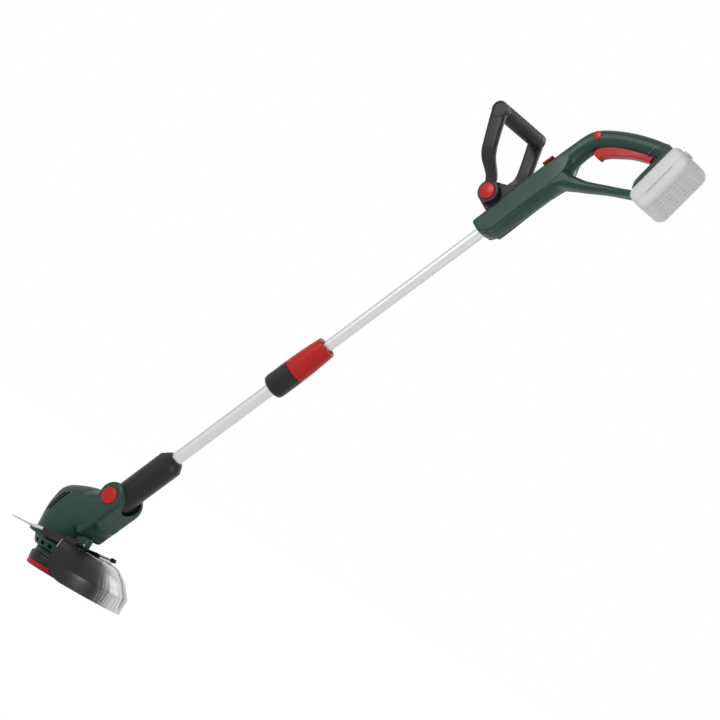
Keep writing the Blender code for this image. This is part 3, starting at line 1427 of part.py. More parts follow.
def make_front_handle():
    def place(x, y, z):
        return YOKE_FRAME @ Vector((x, y, z))

    inner = YOKE_GRIP_HALF + GAP
    low = place(0, -inner - 0.0100, YOKE_HEIGHT)
    high = place(0, inner + 0.0100, YOKE_HEIGHT)
    frame = cylinder("front_handle_frame", YOKE_CORE_RADIUS, low, high, ROUND_STEPS)
    solids = []
    for sign in (-1, 1):
        low = place(0, sign * inner, YOKE_HEIGHT)
        high = place(0, sign * YOKE_HALF, YOKE_HEIGHT)
        solids.append(cylinder("bar_end", YOKE_BAR_RADIUS, low, high, ROUND_STEPS))
        stations = [
            (sign * 0.0686, YOKE_HEIGHT - 0.0005, 0.0125, 0.0060),
            (sign * 0.0670, 0.1050, 0.0126, 0.0062),
            (sign * 0.0645, 0.0760, 0.0130, 0.0063),
            (sign * 0.0615, 0.0580, 0.0130, 0.0063),
            (sign * 0.0540, 0.0465, 0.0122, 0.0062),
            (sign * 0.0400, 0.0350, 0.0105, 0.0060),
            (sign * 0.0310, 0.0250, 0.0098, 0.0056),
            (sign * 0.0277, 0.0100, 0.0098, 0.0052),
        ]
        solids.append(strap("leg", stations, YOKE_FRAME))
        low = place(0, sign * LUG_INNER, 0)
        high = place(0, sign * LUG_OUTER, 0)
        solids.append(cylinder("lug", LUG_RADIUS, low, high, ROUND_STEPS))
    frame = join(frame, solids)
    pocket = LUG_OUTER - YOKE_BUTTON_POCKET
    room = YOKE_BUTTON_RADIUS + GAP
    low = place(0, -0.0500, 0)
    cutters = [
        cylinder("pin_bore", FRONT_PIN_RADIUS + GAP, low, place(0, pocket + GAP, 0), SMALL_STEPS),
        cylinder("button_pocket", room, low, place(0, -pocket, 0), ROUND_STEPS),
    ]
    smooth(keep(cut(frame, cutters), BLACK))

    profile = [
        (YOKE_BAR_RADIUS, YOKE_GRIP_HALF),
        (YOKE_BAR_RADIUS, -YOKE_GRIP_HALF),
        (YOKE_CORE_RADIUS + GAP, -YOKE_GRIP_HALF),
        (YOKE_CORE_RADIUS + GAP, YOKE_GRIP_HALF),
    ]
    stand = YOKE_FRAME @ Matrix.Translation((0, 0, YOKE_HEIGHT)) @ Matrix.Rotation(radians(90.0), 4, "X")
    smooth(keep(turned("front_handle_grip", profile, ROUND_STEPS, stand, closed=True), RUBBER))

    outer = LUG_OUTER + YOKE_BUTTON_PROUD
    low = LUG_OUTER - YOKE_BUTTON_POCKET + YOKE_BUTTON_TRAVEL + GAP
    profile = [
        (0.0, outer),
        (YOKE_BUTTON_RADIUS * 0.50, outer - 0.0005),
        (YOKE_BUTTON_RADIUS * 0.80, outer - 0.0016),
        (YOKE_BUTTON_RADIUS * 0.94, outer - 0.0030),
        (YOKE_BUTTON_RADIUS, outer - 0.0046),
        (YOKE_BUTTON_RADIUS, low),
        (0.0, low),
    ]
    stand = Matrix.Translation(YOKE_PIVOT) @ Matrix.Rotation(radians(90.0), 4, "X")
    smooth(keep(turned("front_handle_button", profile, ROUND_STEPS, stand), RED))


# Battery
def make_battery():
    width = BATTERY_HALF_WIDTH
    outline = rounded([
        (0.0, BATTERY_BOTTOM, 0.0100),
        (BATTERY_DEPTH, BATTERY_BOTTOM, 0.0150),
        (BATTERY_DEPTH, BATTERY_TOP, 0.0150),
        (0.0, BATTERY_TOP, 0.0060),
    ], 4)
    block = plate("block", outline, width, 0.0040, 2, SEAT_FRAME)
    far = 0.2000
    copies = []
    for name, low, high in (
        ("battery_base", BATTERY_PARTING, far),
        ("battery_case", -far, BATTERY_PARTING + GAP),
    ):
        half = bpy.data.objects.new(name, block.data.copy())
        TOOLS.objects.link(half)
        copies.append(cut(half, [box("trim", (low, -far, -far), (high, far, far), SEAT_FRAME)]))
    bpy.data.objects.remove(block, do_unlink=True)
    base, case = copies

    web = TONGUE_WEB_HALF + GAP
    head = TONGUE_HALF + GAP
    head_end = (TONGUE_DEPTH + GAP, head, TONGUE_TOP + GAP)
    cutters = [
        box("web_slot", (-0.0100, -web, -0.0800), (TONGUE_WEB + SLACK, web, TONGUE_TOP + GAP), SEAT_FRAME),
        box("head_slot", (TONGUE_WEB - GAP, -head, -0.0800), head_end, SEAT_FRAME),
    ]
    for y in BLADE_PLACES:
        low = (0.0040, y - BLADE_HALF - GAP, TONGUE_TOP)
        high = (0.0056, y + BLADE_HALF + GAP, TONGUE_TOP + BLADE_LENGTH + GAP)
        cutters.append(box("blade_slot", low, high, SEAT_FRAME))
    low = (CATCH_FRONT - GAP, -CATCH_HALF - GAP, CATCH_BOTTOM - CATCH_TRAVEL - GAP)
    high = (CATCH_REAR + GAP, CATCH_HALF + GAP, 0.0800)
    cutters.append(box("catch_room", low, high, SEAT_FRAME))
    smooth(keep(cut(base, cutters), PALE))

    room = (CELL_COUNT - 1) / 2 * CELL_PITCH + CELL_RADIUS + GAP
    deep = BATTERY_PARTING + 2 * CELL_RADIUS + 3 * GAP
    side = CELL_HALF_LENGTH + 0.0007
    cells_room = box(
        "cells_room",
        (0.0100, -side, CELL_MIDDLE - room),
        (deep, side, CELL_MIDDLE + room),
        SEAT_FRAME,
    )
    smooth(keep(cut(case, [cells_room]), PALE))

    x = BATTERY_PARTING + GAP + CELL_RADIUS + GAP
    straps = []
    for side in (-1, 1):
        low = (x - 0.0025, side * CELL_HALF_LENGTH - 0.0003, CELL_MIDDLE - 2 * CELL_PITCH)
        high = (x + 0.0025, side * CELL_HALF_LENGTH + 0.0003, CELL_MIDDLE + 2 * CELL_PITCH)
        straps.append(box("cell_strap", low, high, SEAT_FRAME))
    rows = []
    for k in range(CELL_COUNT):
        z = CELL_MIDDLE + (k - (CELL_COUNT - 1) / 2) * CELL_PITCH
        low = on_seat(x, -CELL_HALF_LENGTH, z)
        high = on_seat(x, CELL_HALF_LENGTH, z)
        rows.append(cylinder("cell", CELL_RADIUS, low, high, SMALL_STEPS))
    smooth(keep(join(straps[0], [straps[1], *rows]), STEEL)).name = "battery_cells"

    catch = box(
        "battery_release",
        (CATCH_FRONT, -CATCH_HALF, CATCH_BOTTOM),
        (CATCH_REAR, CATCH_HALF, CATCH_TOP),
        SEAT_FRAME,
    )
    smooth(keep(settled(round_edges(catch, 0.0010, 2)), PALE))


def make_tongue():
    """The T-shaped tongue of the seat and its contact blades."""
    root = -TONGUE_ROOT + GAP
    tongue = box(
        "battery_tongue",
        (root, -TONGUE_WEB_HALF, TONGUE_BOTTOM + GAP),
        (TONGUE_WEB + SLACK, TONGUE_WEB_HALF, TONGUE_TOP - GAP),
        SEAT_FRAME,
    )
    low = (TONGUE_WEB, -TONGUE_HALF, TONGUE_BOTTOM)
    high = (TONGUE_DEPTH, TONGUE_HALF, TONGUE_TOP)
    tongue = join(tongue, [box("tongue_head", low, high, SEAT_FRAME)])
    cutters = []
    blades = []
    for y in BLADE_PLACES:
        low = Vector((0.0043, y - BLADE_HALF, TONGUE_TOP - 0.0050))
        high = Vector((0.0053, y + BLADE_HALF, TONGUE_TOP + BLADE_LENGTH))
        blades.append(box("blade", low, high, SEAT_FRAME))
        grow = Vector((GAP, GAP, GAP))
        cutters.append(box("blade_room", low - grow, high + grow, SEAT_FRAME))
    smooth(keep(cut(tongue, cutters), BLACK))
    numbered("contact_blade", blades, BRASS)


# Build
make_tubes()
make_clamp()
make_tube_adapter()
make_head()
make_motor()
make_fan()
make_spool_unit()
make_guard()
make_guard_mount()
make_plant_guard()
make_handle()
make_trigger()
make_controls()
make_front_handle()
make_battery()
make_tongue()


# Each moving body hangs on an empty at its joint
HOOKS = {}


def hang(name, place, members, carrier=None):
    hook = bpy.data.objects.new(name, None)
    hook.empty_display_size = 0.0100
    PARTS.objects.link(hook)
    hook.location = place
    if carrier is not None:
        above, above_place = HOOKS[carrier]
        hook.parent = above
        hook.matrix_parent_inverse = Matrix.Translation(-above_place)
    HOOKS[name] = (hook, Vector(place))
    for member in members:
        piece = bpy.data.objects[member]
        piece.parent = hook
        piece.matrix_parent_inverse = Matrix.Translation(-Vector(place))


hang("lower_shaft_joint", on_tube(LOWER_TUBE_END), [
    "lower_tube",
    "clamp_base",
    "clamp_collet",
    "tube_adapter",
    "tilt_pin",
    "adapter_pin",
])
hang("collar_joint", on_tube(CLAMP_BORDER), ["clamp_collar"], "lower_shaft_joint")
hang("head_joint", (PIVOT_X, 0, PIVOT_Z), [
    "head_shell_left",
    "head_shell_right",
    "head_screw_1",
    "head_screw_2",
    "head_screw_3",
    "motor_can",
    "upper_bearing",
    "lower_bearing",
    "guard_mount",
    "guard_shield",
    "guard_screw_1",
    "guard_screw_2",
    "line_cutter",
    "tilt_cap",
], "lower_shaft_joint")
hang("tilt_button_joint", (PIVOT_X, -CHEEK_HALF, PIVOT_Z), ["tilt_button"], "head_joint")
hang("cutter_joint", (0, 0, 0), [
    "armature",
    "cooling_fan",
    "drive_hub",
    "spool_housing",
    "spool",
    "line_coil",
    "spool_spring",
    "spool_cap",
    "line_eyelet",
], "head_joint")
hang("wire_joint", (ARM_FRONT, 0, wire_height(ARM_FRONT)), [
    "plant_guard_wire",
    "wire_ferrule_1",
    "wire_ferrule_2",
    "wire_end_stop_1",
    "wire_end_stop_2",
], "head_joint")
hang("front_handle_joint", YOKE_PIVOT, ["front_handle_frame", "front_handle_grip"])
button_place = YOKE_PIVOT + Vector((0, -LUG_OUTER, 0))
hang("front_button_joint", button_place, ["front_handle_button"], "front_handle_joint")
hang("trigger_joint", (TRIGGER_PIVOT[0], 0, TRIGGER_PIVOT[1]), ["trigger"])
hang("lock_joint", (LOCK_X, -LOCK_OUTER, LOCK_Z), ["lock_off_button"])
hang("slider_joint", on_tube(SLIDER_START, SLIDER_TOP), ["mode_slider"])
hang("battery_joint", on_seat(0, 0, 0), ["battery_base", "battery_case", "battery_cells"])
hang("release_joint", on_seat(CATCH_REAR, 0, CATCH_TOP), ["battery_release"], "battery_joint")
bpy.context.view_layer.update()
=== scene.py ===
# %% [markdown]
# # Dressing a cordless string trimmer
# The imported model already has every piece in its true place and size. This script keeps that model
# as a frame and dresses it: the moulded housings are made again with flowing surfaces, the battery
# gets its ribs and grooves, and every piece gets a finish made of nodes. Each part of the script
# makes one piece or one finish, and says first what the real one is like.

# %% Load the frame
import json
from math import acos, atan2, cos, pi, radians, sin, tan

import bmesh
import bpy
from mathutils import Matrix, Vector


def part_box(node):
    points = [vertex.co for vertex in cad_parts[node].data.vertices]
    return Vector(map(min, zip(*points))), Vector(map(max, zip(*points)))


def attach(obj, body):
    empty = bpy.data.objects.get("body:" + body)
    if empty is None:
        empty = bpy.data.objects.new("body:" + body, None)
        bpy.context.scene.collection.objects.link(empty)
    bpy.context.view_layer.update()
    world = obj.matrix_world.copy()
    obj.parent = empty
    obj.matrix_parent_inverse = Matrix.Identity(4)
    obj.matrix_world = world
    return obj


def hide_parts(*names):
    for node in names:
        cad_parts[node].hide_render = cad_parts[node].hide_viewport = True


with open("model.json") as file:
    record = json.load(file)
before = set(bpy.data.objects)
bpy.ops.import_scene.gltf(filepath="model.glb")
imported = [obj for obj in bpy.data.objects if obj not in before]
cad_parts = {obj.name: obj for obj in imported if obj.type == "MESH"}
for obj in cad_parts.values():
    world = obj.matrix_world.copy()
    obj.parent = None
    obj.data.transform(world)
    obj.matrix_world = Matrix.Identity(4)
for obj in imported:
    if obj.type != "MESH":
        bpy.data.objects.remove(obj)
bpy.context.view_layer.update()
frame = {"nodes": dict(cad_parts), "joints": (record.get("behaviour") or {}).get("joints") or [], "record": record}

nodes = frame["nodes"]
joints = {joint["name"]: joint for joint in frame["joints"]}

# %% [markdown]
# ## The lines that the pieces follow
# A product like this is laid out on a few lines: the tube line from the tilt pivot to the rear grip,
# the spool axis, and the slide of the battery. The frame's joints already lie on those lines, so the
# script reads them there. A piece drawn along the tube can then be written as a distance up the tube
# and a distance above it, which is how a designer would dimension it.

# %% Tube line, second handle line and battery line
ACROSS = Vector((0.0, 1.0, 0.0))
TILT_PIVOT = Vector(joints["head_tilt"]["pos_m"])
UP_TUBE = Vector(joints["telescope"]["axis"]).normalized()
TUBE_LEAN = atan2(UP_TUBE.x, UP_TUBE.z)
TUBE_FRAME = Matrix.Translation(TILT_PIVOT) @ Matrix.Rotation(TUBE_LEAN, 4, "Y")

YOKE_PIVOT = Vector(joints["second_handle_tilt"]["pos_m"])
YOKE_LEAN = radians(-15.8)
YOKE_FRAME = Matrix.Translation(YOKE_PIVOT) @ Matrix.Rotation(YOKE_LEAN, 4, "Y")

UP_BATTERY = Vector(joints["battery_slide"]["axis"]).normalized()
BATTERY_LEAN = atan2(UP_BATTERY.x, UP_BATTERY.z)
SEAT = Vector((0.6574, 0.0, 1.0670))
SEAT_FRAME = Matrix.Translation(SEAT) @ Matrix.Rotation(BATTERY_LEAN, 4, "Y")


def on_tube(s, n=0.0, y=0.0):
    """The point at a distance s up the tube line and n above it."""
    return TUBE_FRAME @ Vector((-n, y, s))


def on_seat(x, y, z):
    """The point x behind the battery's seat and z up its slide."""
    return SEAT_FRAME @ Vector((x, y, z))


print("tube leans", round(TUBE_LEAN * 180 / pi, 2), "degrees")

# %% [markdown]
# ## Mesh helpers
# Almost every piece is one of four things: a turned profile, a flat outline given a width, a skin
# stretched over sections, or a block. The helpers below make those as closed meshes. They are then
# joined and cut with the Manifold solver, which is quick on dense closed meshes, so the sections can
# be fine enough to look smooth close up.

# %% Closed meshes from mesh data
CLEAR = 0.0003
BENCH = bpy.data.collections.new("bench")
bpy.context.scene.collection.children.link(BENCH)


def placed(name, bm, stand=None):
    """Turn a bmesh into an object, with its faces facing outwards."""
    bmesh.ops.remove_doubles(bm, verts=bm.verts, dist=0.000001)
    bmesh.ops.recalc_face_normals(bm, faces=bm.faces)
    if stand is not None:
        bm.transform(stand)
    mesh = bpy.data.meshes.new(name)
    bm.to_mesh(mesh)
    bm.free()
    made = bpy.data.objects.new(name, mesh)
    BENCH.objects.link(made)
    return made


def applied(piece):
    """The same piece with its modifiers made real."""
    bpy.context.view_layer.update()
    graph = bpy.context.evaluated_depsgraph_get()
    mesh = bpy.data.meshes.new_from_object(piece.evaluated_get(graph))
    piece.modifiers.clear()
    piece.data = mesh
    return piece


def block(name, low, high, stand=None):
    bm = bmesh.new()
    bmesh.ops.create_cube(bm, size=1.0)
    low = Vector(low)
    high = Vector(high)
    bmesh.ops.scale(bm, vec=high - low, verts=bm.verts)
    bmesh.ops.translate(bm, vec=(high + low) / 2, verts=bm.verts)
    return placed(name, bm, stand)


def drum(name, radius, start, end, steps=64):
    """A plain round bar from one point to another, used as a body or as a drill."""
    start = Vector(start)
    along = Vector(end) - start
    bm = bmesh.new()
    size = {"radius1": radius, "radius2": radius, "depth": along.length}
    bmesh.ops.create_cone(bm, cap_ends=True, segments=steps, **size)
    turn = along.to_track_quat("Z", "Y").to_matrix().to_4x4()
    return placed(name, bm, Matrix.Translation(start + along / 2) @ turn)


def crosswise(name, radius, middle, half, steps=64):
    """A round bar across the tool that reaches equally far to each side of a point."""
    return drum(name, radius, middle - ACROSS * half, middle + ACROSS * half, steps)


def lathe(name, profile, steps=96, stand=None):
    """Turn a closed profile of (radius, height) points about Z."""
    bm = bmesh.new()
    rings = []
    for k in range(steps):
        angle = 2 * pi * k / steps
        rings.append([bm.verts.new((r * cos(angle), r * sin(angle), z)) for r, z in profile])
    count = len(profile)
    for k, ring in enumerate(rings):
        after = rings[(k + 1) % steps]
        for i in range(count):
            j = (i + 1) % count
            corners = [ring[i], ring[j], after[j], after[i]]
            if profile[i][0] < 1e-7 and profile[j][0] < 1e-7:
                continue
            bm.faces.new(corners)
    bmesh.ops.remove_doubles(bm, verts=bm.verts, dist=0.000001)
    return placed(name, bm, stand)


def skin(name, sections, stand=None):
    """Stretch a skin over closed sections of equal point counts and cap both ends."""
    bm = bmesh.new()
    rings = [[bm.verts.new(point) for point in section] for section in sections]
    count = len(rings[0])
    for lower, upper in zip(rings, rings[1:]):
        for i in range(count):
            j = (i + 1) % count
            bm.faces.new((lower[i], lower[j], upper[j], upper[i]))
    bm.faces.new(rings[0])
    bm.faces.new(rings[-1])
    return placed(name, bm, stand)


def slab(name, outline, half, stand=None, middle=0.0):
    """A flat piece with an outline of (x, z) points, twice half wide along Y."""
    near = [Vector((x, middle - half, z)) for x, z in outline]
    far = [Vector((x, middle + half, z)) for x, z in outline]
    return skin(name, [near, far], stand)


print("helpers ready")

# %% Joining, cutting and rounding


def solved(piece, other, operation):
    step = piece.modifiers.new("solve", "BOOLEAN")
    step.object = other
    step.operation = operation
    step.solver = "MANIFOLD"
    applied(piece)
    bpy.data.objects.remove(other, do_unlink=True)
    return piece


def joined(piece, others):
    for other in others:
        solved(piece, other, "UNION")
    return piece


def carved(piece, drills):
    for drill in drills:
        solved(piece, drill, "DIFFERENCE")
    return piece


def eased(piece, width, steps=3, angle=35.0):
    """Round the sharp edges of a piece, as a mould does."""
    bevel = piece.modifiers.new("ease", "BEVEL")
    bevel.width = width
    bevel.segments = steps
    bevel.limit_method = "ANGLE"
    bevel.angle_limit = radians(angle)
    return applied(piece)


def moulded(piece, voxel, passes):
    """Melt joined forms into one skin, so that they flow into each other as moulded plastic does."""
    remesh = piece.modifiers.new("melt", "REMESH")
    remesh.mode = "VOXEL"
    remesh.voxel_size = voxel
    soften = piece.modifiers.new("soften", "SMOOTH")
    soften.factor = 0.5
    soften.iterations = passes
    return applied(piece)


def arc(middle, reach, first, last, steps):
    """Points round a middle from one angle to another, on a circle or an oval."""
    points = []
    for k in range(steps + 1):
        angle = first + (last - first) * k / steps
        points.append((middle[0] + reach[0] * cos(angle), middle[1] + reach[1] * sin(angle)))
    return points


def superoval(half_a, half_b, power, count):
    """Points of a rounded oblong: power 2 is an ellipse, larger powers are boxier."""
    points = []
    for k in range(count):
        angle = 2 * pi * k / count
        c = cos(angle)
        s = sin(angle)
        a = half_a * abs(c) ** (2 / power) * (1 if c >= 0 else -1)
        b = half_b * abs(s) ** (2 / power) * (1 if s >= 0 else -1)
        points.append((a, b))
    return points


def flowing(stations, steps):
    """Extra stations between the given ones, on a curve that passes through them all."""
    made = []
    last = len(stations) - 1
    for k in range(last):
        before = stations[max(k - 1, 0)]
        here = stations[k]
        there = stations[k + 1]
        after = stations[min(k + 2, last)]
        for i in range(steps):
            t = i / steps
            row = []
            for p, q, r, s in zip(before, here, there, after):
                bend = (2 * p - 5 * q + 4 * r - s) * t * t + (3 * q - p - 3 * r + s) * t ** 3
                row.append(0.5 * (2 * q + (r - p) * t + bend))
            made.append(tuple(row))
    made.append(tuple(stations[last]))
    return made


def filleted(corners, steps=8):
    """A closed outline whose corners (x, z, radius) are rounded with arcs."""
    points = []
    count = len(corners)
    for i, (x, z, radius) in enumerate(corners):
        here = Vector((x, z))
        before = (Vector(corners[i - 1][:2]) - here).normalized()
        after = (Vector(corners[(i + 1) % count][:2]) - here).normalized()
        half = acos(max(-1.0, min(1.0, before.dot(after)))) / 2
        middle = here + (before + after).normalized() * (radius / sin(half))
        first = here + before * (radius / tan(half)) - middle
        last = here + after * (radius / tan(half)) - middle
        start = atan2(first.y, first.x)
        sweep = (atan2(last.y, last.x) - start + pi) % (2 * pi) - pi
        for k in range(steps + 1):
            angle = start + sweep * k / steps
            points.append(middle + Vector((cos(angle), sin(angle))) * radius)
    return points


print("solvers ready")

# %% [markdown]
# ## Writing shaders as sums
# A finish is a small sum of noises and ramps. Writing that with node links is long to read, so one
# class wraps an output socket and lets Python's own operators add the Math nodes. Colours never go
# through those operators, because a Math node turns a colour grey: they go through Mix nodes.
# Materials and the world are both node trees, so one parent class adds the nodes of either.

# %% A socket that can be added and multiplied


class Wave:
    """A number that changes over the surface: the output socket of a node."""

    def __init__(self, shading, socket):
        self.shading = shading
        self.socket = socket

    def _math(self, operation, first, second):
        return self.shading.node("ShaderNodeMath", {"operation": operation}, {0: first, 1: second})

    def __add__(self, other):
        return self._math("ADD", self, other)

    def __radd__(self, other):
        return self._math("ADD", other, self)

    def __sub__(self, other):
        return self._math("SUBTRACT", self, other)

    def __rsub__(self, other):
        return self._math("SUBTRACT", other, self)

    def __mul__(self, other):
        return self._math("MULTIPLY", self, other)

    def __rmul__(self, other):
        return self._math("MULTIPLY", other, self)


class Shading:
    """A node tree, with one method that adds any node to it."""

    def __init__(self, tree):
        self.tree = tree

    def node(self, kind, settings=None, values=None, out=0):
        """Any node: its settings first, then the values or links of its sockets."""
        made = self.tree.nodes.new(kind)
        for name, value in (settings or {}).items():
            setattr(made, name, value)
        for socket, value in (values or {}).items():
            if isinstance(value, Wave):
                self.tree.links.new(value.socket, made.inputs[socket])
            else:
                made.inputs[socket].default_value = value
        return Wave(self, made.outputs[out]) if made.outputs else None

    def rays(self, *kinds):
        """1 for the named kinds of ray and 0 for all others."""
        seen = 0.0
        for kind in kinds:
            ray = self.node("ShaderNodeLightPath", out=kind)
            seen = self.node("ShaderNodeMath", {"operation": "MAXIMUM"}, {0: seen, 1: ray})
        return seen


print("waves and node trees ready")

# %% A material and what feeds it


class Finish(Shading):
    """One material: a Principled shader and the nodes that feed it."""

    def __init__(self, name, colour, roughness, metallic=0.0):
        self.material = bpy.data.materials.new(name)
        self.material.use_nodes = True
        super().__init__(self.material.node_tree)
        self.shader = self.tree.nodes["Principled BSDF"]
        self.shader.inputs["Base Color"].default_value = (*colour, 1.0)
        self.shader.inputs["Roughness"].default_value = roughness
        self.shader.inputs["Metallic"].default_value = metallic
        self.colour = colour

    def feed(self, socket, value):
        self.tree.links.new(value.socket, self.shader.inputs[socket])

    def place(self, stretch=(1.0, 1.0, 1.0), turn=(0.0, 0.0, 0.0)):
        """Object coordinates, in metres, stretched for grain that runs one way."""
        spot = self.node("ShaderNodeTexCoord", out=3)
        return self.node("ShaderNodeMapping", None, {"Vector": spot, "Scale": stretch, "Rotation": turn})

    def axes(self):
        """The object's own x, y and z in metres, as three waves."""
        spot = self.node("ShaderNodeTexCoord", out=3)
        parts = self.node("ShaderNodeSeparateXYZ", None, {"Vector": spot})
        return [Wave(self, output) for output in parts.socket.node.outputs]

    def rise(self, wave, start, end):
        """0 below start and 1 above end, with a soft passage between them."""
        values = {"Value": wave, "From Min": start, "From Max": end}
        return self.node("ShaderNodeMapRange", {"interpolation_type": "SMOOTHSTEP"}, values)

    def noise(self, scale, detail=3.0, place=None):
        """Soft noise between 0 and 1, with scale in bumps per metre."""
        where = place or self.place()
        return self.node("ShaderNodeTexNoise", None, {"Vector": where, "Scale": scale, "Detail": detail})

    def mixed(self, share, first, second):
        """A colour between two others, each a triple or the output of a Mix node."""
        ends = [shade if isinstance(shade, Wave) else (*shade, 1.0) for shade in (first, second)]
        return self.node("ShaderNodeMix", {"data_type": "RGBA"}, {0: share, 6: ends[0], 7: ends[1]}, 2)

    def tinted(self, wave, low, high):
        """Blend the base colour between two shades of itself."""
        dark = [c * low for c in self.colour]
        light = [min(c * high, 1.0) for c in self.colour]
        self.feed("Base Color", self.mixed(wave, dark, light))

    def bumped(self, wave, depth):
        """Raise the surface by up to depth metres where the wave is 1."""
        self.feed("Normal", self.node("ShaderNodeBump", None, {"Height": wave, "Distance": depth}))


print("finish class ready")

# %% [markdown]
# ## Moulded plastic
# The housings are spark-eroded plastic: the mould leaves a very fine, even grain that breaks up the
# highlights without showing as bumps. A fine noise drives the bump, a broader one changes the
# roughness a little, and a third makes the colour uneven by a few per cent, as pigment does.

# %% Plastic finishes
PATCHES = 38.0
PIGMENT = 90.0


def plastic(name, colour, roughness, grain=2600.0, depth=0.000006, shine=0.25, spread=0.06):
    made = Finish(name, colour, roughness)
    made.shader.inputs["Specular IOR Level"].default_value = shine
    fine = made.noise(grain, 2.0)
    broad = made.noise(PATCHES, 4.0)
    made.feed("Roughness", broad * spread + fine * 0.04 + (roughness - spread / 2 - 0.02))
    made.tinted(made.noise(PIGMENT, 3.0), 0.93, 1.07)
    made.bumped(fine, depth)
    return made.material


GREEN = plastic("green_housing_grain", (0.0110, 0.0420, 0.0285), 0.40, shine=0.22)
RED = plastic("red_control_gloss", (0.3950, 0.0110, 0.0105), 0.36, 3200.0, 0.000002, shine=0.20)
BLACK = plastic("black_moulding_grain", (0.0075, 0.0073, 0.0080), 0.42)
FRAME_BLACK = plastic("second_handle_grain", (0.0088, 0.0084, 0.0092), 0.44, 2200.0, 0.000008, 0.28)
GRIP = plastic("soft_grip_grain", (0.0080, 0.0078, 0.0082), 0.60, 1500.0, 0.000020, shine=0.25)
PALE = plastic("pale_battery_grain", (0.5400, 0.5430, 0.5430), 0.48, 2600.0, 0.000004)
print("plastics:", len(bpy.data.materials))

# %% [markdown]
# ## Metal
# The tubes are drawn aluminium with a satin anodised skin. Drawing leaves hair lines along the tube,
# so the noise is squeezed across the tube and stretched along it before it feeds the bump and the
# roughness. The wire, pins and screws are plated steel, which is brighter and has no such grain.

# %% Metal finishes


def drawn_metal(name, colour, roughness, turn):
    made = Finish(name, colour, roughness, metallic=1.0)
    lines = made.noise(900.0, 3.0, made.place((1.0, 1.0, 0.015), turn))
    made.feed("Roughness", lines * 0.06 + (roughness - 0.03))
    made.tinted(lines, 0.985, 1.01)
    made.bumped(lines, 0.000002)
    return made.material


def plated_metal(name, colour, roughness):
    made = Finish(name, colour, roughness, metallic=1.0)
    cloud = made.noise(260.0, 3.0)
    made.feed("Roughness", cloud * 0.10 + (roughness - 0.05))
    made.tinted(cloud, 0.92, 1.04)
    made.bumped(cloud, 0.00001)
    return made.material


TUBE_METAL = drawn_metal("satin_tube_lines", (0.56, 0.56, 0.565), 0.34, (0.0, -TUBE_LEAN, 0.0))
STEEL = plated_metal("bright_steel_plate", (0.50, 0.50, 0.51), 0.24)
BRASS = plated_metal("contact_brass_plate", (0.78, 0.57, 0.28), 0.28)
print("metals ready")

# %% [markdown]
# ## Smoked guard
# The guard is clear plastic with a smoke tint. Beside the head it has dark things behind it and looks
# almost black; its rear part has only the bright studio behind it and looks light, and the bent wall
# there draws the light out into upright streaks. These looks are painted: an alpha and a tint that
# change with the angle round the spool axis paint the side parts dark and nearly opaque, as painted
# shade, and the rear lighter and clearer, and a noise stretched along the wall's height, laid out by
# that same angle, paints the streaks as painted reflections. The cut edge of clear plastic gathers
# light, so the faces along the rim get a painted highlight: a paler grey material of their own.

# %% Guard finishes
# Up to the first angle the side wall is painted dark as shade, from the second it is clear and painted lighter,
# and the painted reflection streaks fade out after the third.
PAINTED_SHADE_UNTIL = radians(-20.0)
CLEAR_FROM = radians(8.0)
STREAKS_END = radians(27.0)
STREAKS_FADE = 0.12
STREAKS_ROUND = 34.0
STREAKS_DOWN = 16.0
TOP_ENDS = 0.0600
WALL_BEGINS = 0.0440
# The dark tint and high alpha are painted shade; the rear tint is the clear smoke, lightened by painted light.
PAINTED_SHADE_TINT = (0.0100, 0.0096, 0.0105)
CLEAR_AND_LIT_TINT = (0.1600, 0.1550, 0.1600)
# The light tint and extra alpha of the streaks are painted reflections.
PAINTED_REFLECTION_TINT = (0.9000, 0.9000, 0.9200)
PAINTED_SHADE_ALPHA = 0.945
CLEAR_ALPHA = 0.325
PAINTED_REFLECTION_ALPHA = 0.52
SMOKE_ROUGHNESS = 0.26
CLEAR_ROUGHNESS = 0.12


def smoked(name):
    made = Finish(name, PAINTED_SHADE_TINT, SMOKE_ROUGHNESS)
    made.shader.inputs["Specular IOR Level"].default_value = 0.30
    x, y, z = made.axes()
    turn = made.node("ShaderNodeMath", {"operation": "ARCTAN2"}, {0: y, 1: x})
    # rear is 0 on the side parts, which are painted dark as shade, and 1 on the rear, which is painted lighter and
    # clearer.
    rear = made.rise(turn, PAINTED_SHADE_UNTIL, CLEAR_FROM)
    wall = made.rise(z * -1.0, -TOP_ENDS, -WALL_BEGINS)
    laid_out = made.node("ShaderNodeCombineXYZ", None, {"X": turn * STREAKS_ROUND, "Y": z * STREAKS_DOWN})
    # The upright streaks are painted reflections: a light tint with a higher alpha, weaker on the top.
    reflection_streak = made.rise(made.noise(1.0, 3.0, laid_out), 0.50, 0.62) * rear
    reflection_streak = reflection_streak * (1.0 - made.rise(turn, STREAKS_END, STREAKS_END + STREAKS_FADE))
    reflection_streak = reflection_streak * (wall * 0.75 + 0.25)
    cloud = made.noise(55.0, 2.0)
    made.feed("Alpha", (PAINTED_SHADE_ALPHA - rear * (PAINTED_SHADE_ALPHA - CLEAR_ALPHA)) + reflection_streak * PAINTED_REFLECTION_ALPHA)
    made.feed("Roughness", cloud * 0.08 + (SMOKE_ROUGHNESS - rear * (SMOKE_ROUGHNESS - CLEAR_ROUGHNESS)))
    made.feed("Base Color", made.mixed(reflection_streak, made.mixed(rear, PAINTED_SHADE_TINT, CLEAR_AND_LIT_TINT), PAINTED_REFLECTION_TINT))
    made.bumped(cloud + reflection_streak * 0.5, 0.00008)
    return made.material


SMOKE = smoked("smoked_guard_clear")
